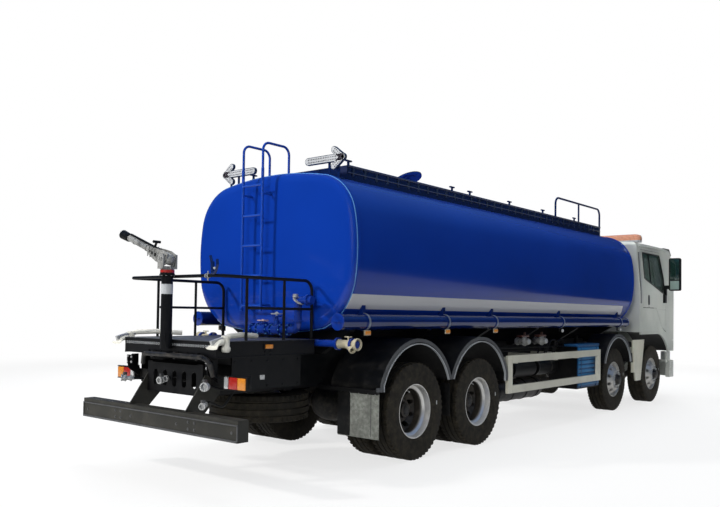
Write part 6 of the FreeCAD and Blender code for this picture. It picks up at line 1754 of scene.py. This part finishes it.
    def nose(self):
        bars, back = Stock(), Stock()
        for index in range(5):
            z = 1.12 + 0.105 * index
            bars.block((-0.86, self.front - 0.010, z), (0.86, self.front + 0.02, z + 0.052), 0.008)
        bars.piece("grille_bars", "lip_bright", "cab")
        back.block((-0.90, self.front - 0.002, 1.09), (0.90, self.front + 0.03, 1.63), 0.01)
        back.piece("grille_back", "black_plastic", "cab")
        wipers = Stock()
        for x, reach in ((-0.55, 0.55), (0.10, 0.60), (0.62, 0.40)):
            wipers.pipe([(x, self.front - 0.004, 2.00), (x, self.front - 0.012, 2.06),
                         (x + reach * 0.5, self.front + 0.012, 2.16)],
                        0.009, 8, 0.02)
            wipers.rod((x + 0.05, self.front, 2.125), (x + reach, self.front + 0.012, 2.150), 0.007, 8)
        wipers.piece("wipers", "black_plastic", "cab")
        screen = [(-1.05, 2.085), (1.05, 2.085), (1.01, 2.835), (-1.01, 2.835)]
        seal = Stock()
        seal.pipe([(x, self.front + 0.012 + 0.318 * (z - 2.04) / 0.90, z) for x, z in screen], 0.014, 8, 0.05,
                  closed=True)
        seal.piece("screen_seal", "black_plastic", "cab")
        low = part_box("front_bumper")[0]
        lenses, bezels, mouths = Stock(), Stock(), Stock()
        for side in (1, -1):
            a, b = sided(side, 0.665, 0.995)
            bezels.block((a - 0.012, low.y + 0.003, 0.528), (b + 0.012, low.y + 0.030, 0.692), 0.010)
            for x in (0.745, 0.905):
                lenses.lathe([(0, 0.066), (0.6, 0.064), (1, 0.040)], (side * x, low.y + 0.022, 0.61),
                             -Y * 0.022, 28)
        mouths.block((-0.56, low.y - 0.002, 0.50), (0.56, low.y + 0.03, 0.60), 0.008)
        bezels.piece("headlamp_bezels", "black_plastic")
        lenses.piece("headlamp_lenses", "white_lens")
        mouths.piece("bumper_mouth", "black_plastic")

    def inside(self):
        """Stitched pads on the seats, head rests, and the dials of the dashboard."""
        low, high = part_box("cab_seats")
        pads, dials = Stock(), Stock()
        for side in (1, -1):
            x = side * 0.56
            for step in (-0.15, 0.0, 0.15):
                pads.block((x + step - 0.07, low.y + 0.01, 1.695), (x + step + 0.07, high.y - 0.14, 1.722),
                           0.012)
                pads.block((x + step - 0.07, high.y - 0.145, 1.76), (x + step + 0.07, high.y - 0.118, 2.30),
                           0.012)
            pads.block((x - 0.14, high.y - 0.125, 2.335), (x + 0.14, high.y - 0.015, 2.50), 0.035)
        pads.piece("seat_pads", "seat_fabric", "cab")
        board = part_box("dashboard")
        for x in (0.46, 0.56, 0.66):
            dials.lathe([(0, 0.040), (0.6, 0.040), (1, 0.034)], (x, board[0].y + 0.375, 1.995),
                        Vector((0, 0.035, 0.030)), 20)
        dials.piece("dials", "white_lens", "cab")


class TANKER_OT_stores(TankerPiece, bpy.types.Operator):
    """Ribs and straps of the boxes and tanks beside the frame, and the bolts of the frame and rear bar"""
    bl_idname = "tanker.stores"
    bl_label = "Frame stores"

    def build(self):
        low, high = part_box("filter_box")
        ribs, lid = Stock(), Stock()
        for index in range(9):
            z = low.z + 0.05 + 0.068 * index
            ribs.block((low.x - 0.012, low.y + 0.02, z), (low.x + 0.004, high.y - 0.02, z + 0.046), 0.005)
        lid.block((low.x - 0.002, low.y + 0.01, low.z + 0.02), (low.x + 0.01, high.y - 0.01, high.z - 0.03),
                  0.001)
        # The ribs take a brighter copy of the lid's blue, a painted highlight.
        ribs.piece("filter_ribs", "filter_bright")
        lid.block((low.x - 0.008, low.y - 0.008, high.z - 0.035),
                  (low.x + 0.22, high.y + 0.008, high.z + 0.006), 0.010)
        for y in (low.y + 0.10, high.y - 0.14):
            lid.block((low.x - 0.012, y, low.z + 0.02), (low.x - 0.002, y + 0.04, high.z - 0.04), 0.002)
        lid.piece("filter_lid", "filter_blue")
        self.fuel()
        self.air()
        self.silencer()
        self.rear_bar()
        self.springs()

    def fuel(self):
        low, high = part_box("fuel_tank")
        straps, cap = Stock(), Stock()
        for share in (0.2, 0.8):
            y = low.y + (high.y - low.y) * share
            line = [(high.x + 0.004, y, low.z + 0.06), (high.x + 0.004, y, high.z - 0.06),
                    (high.x - 0.06, y, high.z + 0.004), (low.x + 0.02, y, high.z + 0.004)]
            straps.pipe([(low.x + 0.02, y, low.z - 0.004), (high.x - 0.06, y, low.z - 0.004)] + line, 0.010,
                        6, 0.05)
        straps.piece("fuel_straps", "black_paint")
        cap.lathe([(0, 0.055), (0.5, 0.055), (0.6, 0.048), (1, 0.044)], (high.x - 0.16, low.y + 0.5, high.z),
                  Z * 0.045, 24)
        cap.piece("fuel_cap", "black_plastic")

    def air(self):
        low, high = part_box("air_tanks")
        bands = Stock()
        radius = (high.z - low.z) / 2
        for y in (low.y + 0.2, low.y + 0.62, high.y - 0.62, high.y - 0.2):
            bands.ring((low.x + radius, y, low.z + radius), Y * 0.03, radius, radius + 0.006, 32)
        bands.piece("air_tank_bands", "dark_metal")

    def silencer(self):
        """Exhaust silencer with its bands and outlet, hung below the frame on the right."""
        barrel, bands = Stock(), Stock()
        start, run = Vector((-0.70, -0.62, 0.52)), Y * 1.55
        profile = [(0, 0.05), (0.02, 0.13), (0.05, 0.15), (0.95, 0.15), (0.98, 0.13), (1, 0.05)]
        barrel.lathe(profile, start, run, 40)
        end = start + run
        barrel.pipe([end, end + Y * 0.12, end + Vector((0.18, 0.30, -0.03))], 0.05, 14, 0.10)
        barrel.piece("silencer", "dark_metal")
        for share in (0.12, 0.36, 0.62, 0.88):
            spot = start + run * share
            bands.ring(spot, Y * 0.03, 0.15, 0.156, 32)
            bands.rod(spot + Vector((0, 0.015, 0.14)), spot + Vector((0.16, 0.015, 0.42)), 0.012, 8)
        bands.piece("silencer_bands", "black_paint")

    def rear_bar(self):
        """Bolts and bright worn edges of the bar below the platform."""
        low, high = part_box("rear_bumper")
        spots, edges = [], Stock()
        for x in (-0.62, -0.53, 0.53, 0.62):
            for z in (0.050, 0.112):
                spots.append(((x, high.y, low.z + z), facing(Y)))
        for x in (-1.12, -0.36, 0.36, 1.12):
            spots.append(((x, high.y, low.z + 0.08), facing(Y)))
        repeat("bar_bolts", bolt(0.010, 0.006), spots, "worn_steel")
        top = low.z + 0.153
        for z, half in ((low.z + 0.010, 0.010), (top - 0.006, 0.006)):
            edges.block((low.x, high.y - 0.003, z - half), (high.x, high.y + 0.010, z + half), 0.003)
        for x in (low.x + 0.005, high.x - 0.005):
            edges.block((x - 0.005, high.y - 0.003, low.z), (x + 0.005, high.y + 0.010, top), 0.003)
        edges.piece("bar_edges", "worn_steel")

    def springs(self):
        """Nuts under the front springs, and the rivets along the frame."""
        spots = []
        for name in ("tyre_1_left", "tyre_2_left"):
            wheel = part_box(name)
            y = (wheel[0].y + wheel[1].y) / 2
            for side in (1, -1):
                for step in (-0.07, 0.07):
                    for x in (0.39, 0.47):
                        spots.append(((side * x, y + step, 0.46), facing(-Z)))
        repeat("spring_nuts", bolt(0.014, 0.016), spots, "bare_metal")
        start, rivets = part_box("chassis_frame")[0].y + 0.6, []
        for side in (1, -1):
            for index in range(28):
                for z in (0.86, 1.00):
                    rivets.append(((side * 0.4305, start + index * 0.36, z), facing(X * side)))
        repeat("frame_rivets", stud([(0, 0.013), (0.6, 0.011), (1, 0.004)], 0.007, 8), rivets,
               "black_paint")


class TANKER_OT_stage(TankerPiece, bpy.types.Operator):
    """Pale floor, soft studio lamps and the camera at the rear right"""
    bl_idname = "tanker.stage"
    bl_label = "Stage"

    def build(self):
        scene = bpy.context.scene
        self.floor()
        self.flags()
        self.world(scene)
        self.lamps()
        self.camera(scene)
        scene.view_settings.view_transform = "Standard"

    def sheet(self, name, corners):
        """A flat four-cornered part of the stage."""
        mesh = bpy.data.meshes.new(name)
        mesh.from_pydata(corners, [], [(0, 1, 2, 3)])
        made = bpy.data.objects.new(name, mesh)
        bpy.context.scene.collection.objects.link(made)
        return made

    def floor(self):
        """White floor that keeps the shadow near the lorry and runs into the white background far off."""
        reach = 90.0
        floor = self.sheet("floor",
                           [(-reach, -reach, 0), (reach, -reach, 0), (reach, reach, 0), (-reach, reach, 0)])
        b = Board("pale_floor")
        direct, glossy = b.ray("Camera").highest(b.ray("Transmission")), b.ray("Glossy") * 0.30
        away = b.sums("SQRT", b.x * b.x + b.y * b.y).step(8.0, 19.0)
        share = (direct * (away * 0.28 + 0.72)).highest(glossy)
        tint = b.mix(direct, (0.30, 0.31, 0.32), (0.80, 0.80, 0.80))
        plain = b.node("ShaderNodeBsdfDiffuse", {}, {"Color": tint})
        white = b.node("ShaderNodeEmission", {}, {"Color": (1, 1, 1), "Strength": 1.0})
        both = b.node("ShaderNodeMixShader", {}, {0: share, 1: plain.outputs[0], 2: white.outputs[0]})
        floor.data.materials.append(b.surface(both))

    def flag(self, name, corners, low, high):
        """Panel that only reflections see, fading from near black at its foot to a dull blue at its top."""
        panel = self.sheet(name, corners)
        for ray in ("camera", "diffuse", "shadow", "transmission"):
            setattr(panel, "visible_" + ray, False)
        b = Board(name + "_shade")
        shade = b.mix(b.z.step(low, high), (0.015, 0.022, 0.035), (0.05, 0.13, 0.30))
        glow = b.node("ShaderNodeEmission", {}, {"Color": shade, "Strength": 1.0})
        panel.data.materials.append(b.surface(glow))

    def flags(self):
        """Dark walls round the stage and a dull sky over them, mirrored by the tank's gloss."""
        right, left, front, rear, top = -40.0, 34.0, -14.0, 24.0, 24.0
        walls = (
            # name, two ends of its foot, levels where its fade starts and ends
            ("flag_front", (right, front), (left, front), 5.0, 16.0),
            ("flag_side", (right, rear), (right, front), 5.0, 16.0),
            ("flag_left", (left, front), (left, rear), 3.0, 13.0),
            ("flag_rear", (right, rear), (left, rear), 6.0, 15.0),
        )
        for name, start, end, low, high in walls:
            self.flag(name, [(*start, 0), (*end, 0), (*end, top), (*start, top)], low, high)
        sky = [(right, front, top), (left, front, top), (left, rear, top), (right, rear, top)]
        self.flag("flag_sky", sky, 3.0, 13.0)

    def world(self, scene):
        """Dim light on surfaces, and plain white for the camera, reflections and glass."""
        scene.world = bpy.data.worlds.new("studio")
        scene.world.use_nodes = True
        w = Wiring(scene.world.node_tree)
        w.tree.nodes.clear()
        dim = w.node("ShaderNodeBackground", {}, {"Color": (0.86, 0.92, 1.0), "Strength": 0.30})
        white = w.node("ShaderNodeBackground", {}, {"Color": (1, 1, 1)})
        clear = w.ray("Camera").highest(w.ray("Glossy")).highest(w.ray("Transmission"))
        both = w.node("ShaderNodeMixShader", {}, {0: clear, 1: dim.outputs[0], 2: white.outputs[0]})
        w.node("ShaderNodeOutputWorld", {}, {"Surface": both.outputs[0]})

    def lamps(self):
        table = (
            # name, place, aimed at, side, watts, spread in degrees, colour
            ("key", (9.0, 18.0, 11.0), (0.0, 4.5, 1.5), 1.4, 1150.0, 120, (1.0, 0.98, 0.95)),
            ("fill", (-5.0, 20.0, 6.0), (-0.5, 4.5, 1.0), 6.0, 330.0, 90, (1.0, 0.99, 0.97)),
            ("overhead", (0.0, 0.0, 14.0), (0.0, 0.0, 0.0), 9.0, 850.0, 150, (0.95, 0.98, 1.0)),
            ("side", (-15.0, 4.0, 5.0), (-1.0, 0.0, 0.4), 6.0, 90.0, 100, (1.0, 0.99, 0.96)),
            ("cab", (-11.0, -9.0, 4.0), (-1.2, -4.9, 1.7), 1.6, 11.0, 24, (1.0, 1.0, 0.98)),
            ("front", (3.0, -17.0, 7.0), (0.0, -4.0, 1.5), 6.0, 520.0, 100, (1.0, 1.0, 1.0)),
            ("left", (15.0, -3.0, 7.0), (1.0, 0.0, 1.2), 6.0, 450.0, 100, (1.0, 1.0, 1.0)),
        )
        for name, place, target, size, watts, spread, colour in table:
            data = bpy.data.lights.new(name, "AREA")
            data.shape, data.size, data.spread = "SQUARE", size, math.radians(spread)
            data.energy, data.color = watts, colour
            lamp = bpy.data.objects.new(name, data)
            lamp.location = place
            lamp.rotation_euler = (Vector(target) - Vector(place)).to_track_quat("-Z", "Y").to_euler()
            lamp.visible_glossy = False
            bpy.context.scene.collection.objects.link(lamp)

    def camera(self, scene):
        data = bpy.data.cameras.new("camera")
        data.sensor_width, data.lens = 36.0, 37.835
        data.shift_x, data.shift_y = 0.016, 0.0536
        data.clip_end = 400.0
        place = (-6.0243, 10.2279, 1.6038)
        yaw, pitch, roll = math.radians(139.92), math.radians(1.59), math.radians(0.84)
        ahead = Vector((math.sin(yaw) * math.cos(pitch), math.cos(yaw) * math.cos(pitch), math.sin(pitch)))
        right = ahead.cross(Z).normalized()
        up = right.cross(ahead)
        right, up = right * math.cos(roll) + up * math.sin(roll), up * math.cos(roll) - right * math.sin(roll)
        camera = bpy.data.objects.new("camera", data)
        turn = Matrix((right, up, -ahead)).transposed().to_4x4()
        camera.matrix_world = Matrix.Translation(place) @ turn
        scene.collection.objects.link(camera)
        scene.camera = camera


OPERATORS = (
    TANKER_OT_finishes, TANKER_OT_stage, TANKER_OT_tank, TANKER_OT_tyres, TANKER_OT_wheels, TANKER_OT_guards,
    TANKER_OT_arrows, TANKER_OT_roof, TANKER_OT_tubes, TANKER_OT_pipework, TANKER_OT_platform,
    TANKER_OT_cannon, TANKER_OT_cab, TANKER_OT_stores,
)


class TANKER_PT_panel(bpy.types.Panel):
    """Lists the sizes, the colours and one button for each group of pieces"""
    bl_idname = "TANKER_PT_panel"
    bl_label = "Water tanker"
    bl_space_type = "VIEW_3D"
    bl_region_type = "UI"
    bl_category = "Tanker"

    def draw(self, context):
        for group in (context.scene.tanker_sizes, context.scene.tanker_colours):
            for field in group.__annotations__:
                self.layout.prop(group, field)
        for operator in OPERATORS:
            self.layout.operator(operator.bl_idname)


CLASSES = (TankerSizes, TankerColours, *OPERATORS, TANKER_PT_panel)


def register():
    for item in CLASSES:
        bpy.utils.register_class(item)
    bpy.types.Scene.tanker_sizes = bpy.props.PointerProperty(type=TankerSizes)
    bpy.types.Scene.tanker_colours = bpy.props.PointerProperty(type=TankerColours)


def unregister():
    del bpy.types.Scene.tanker_colours
    del bpy.types.Scene.tanker_sizes
    for item in reversed(CLASSES):
        bpy.utils.unregister_class(item)


def main():
    register()
    for operator in OPERATORS:
        group, name = operator.bl_idname.split(".")
        getattr(getattr(bpy.ops, group), name)()
    bpy.context.view_layer.update()


if __name__ == "__main__":
    main()
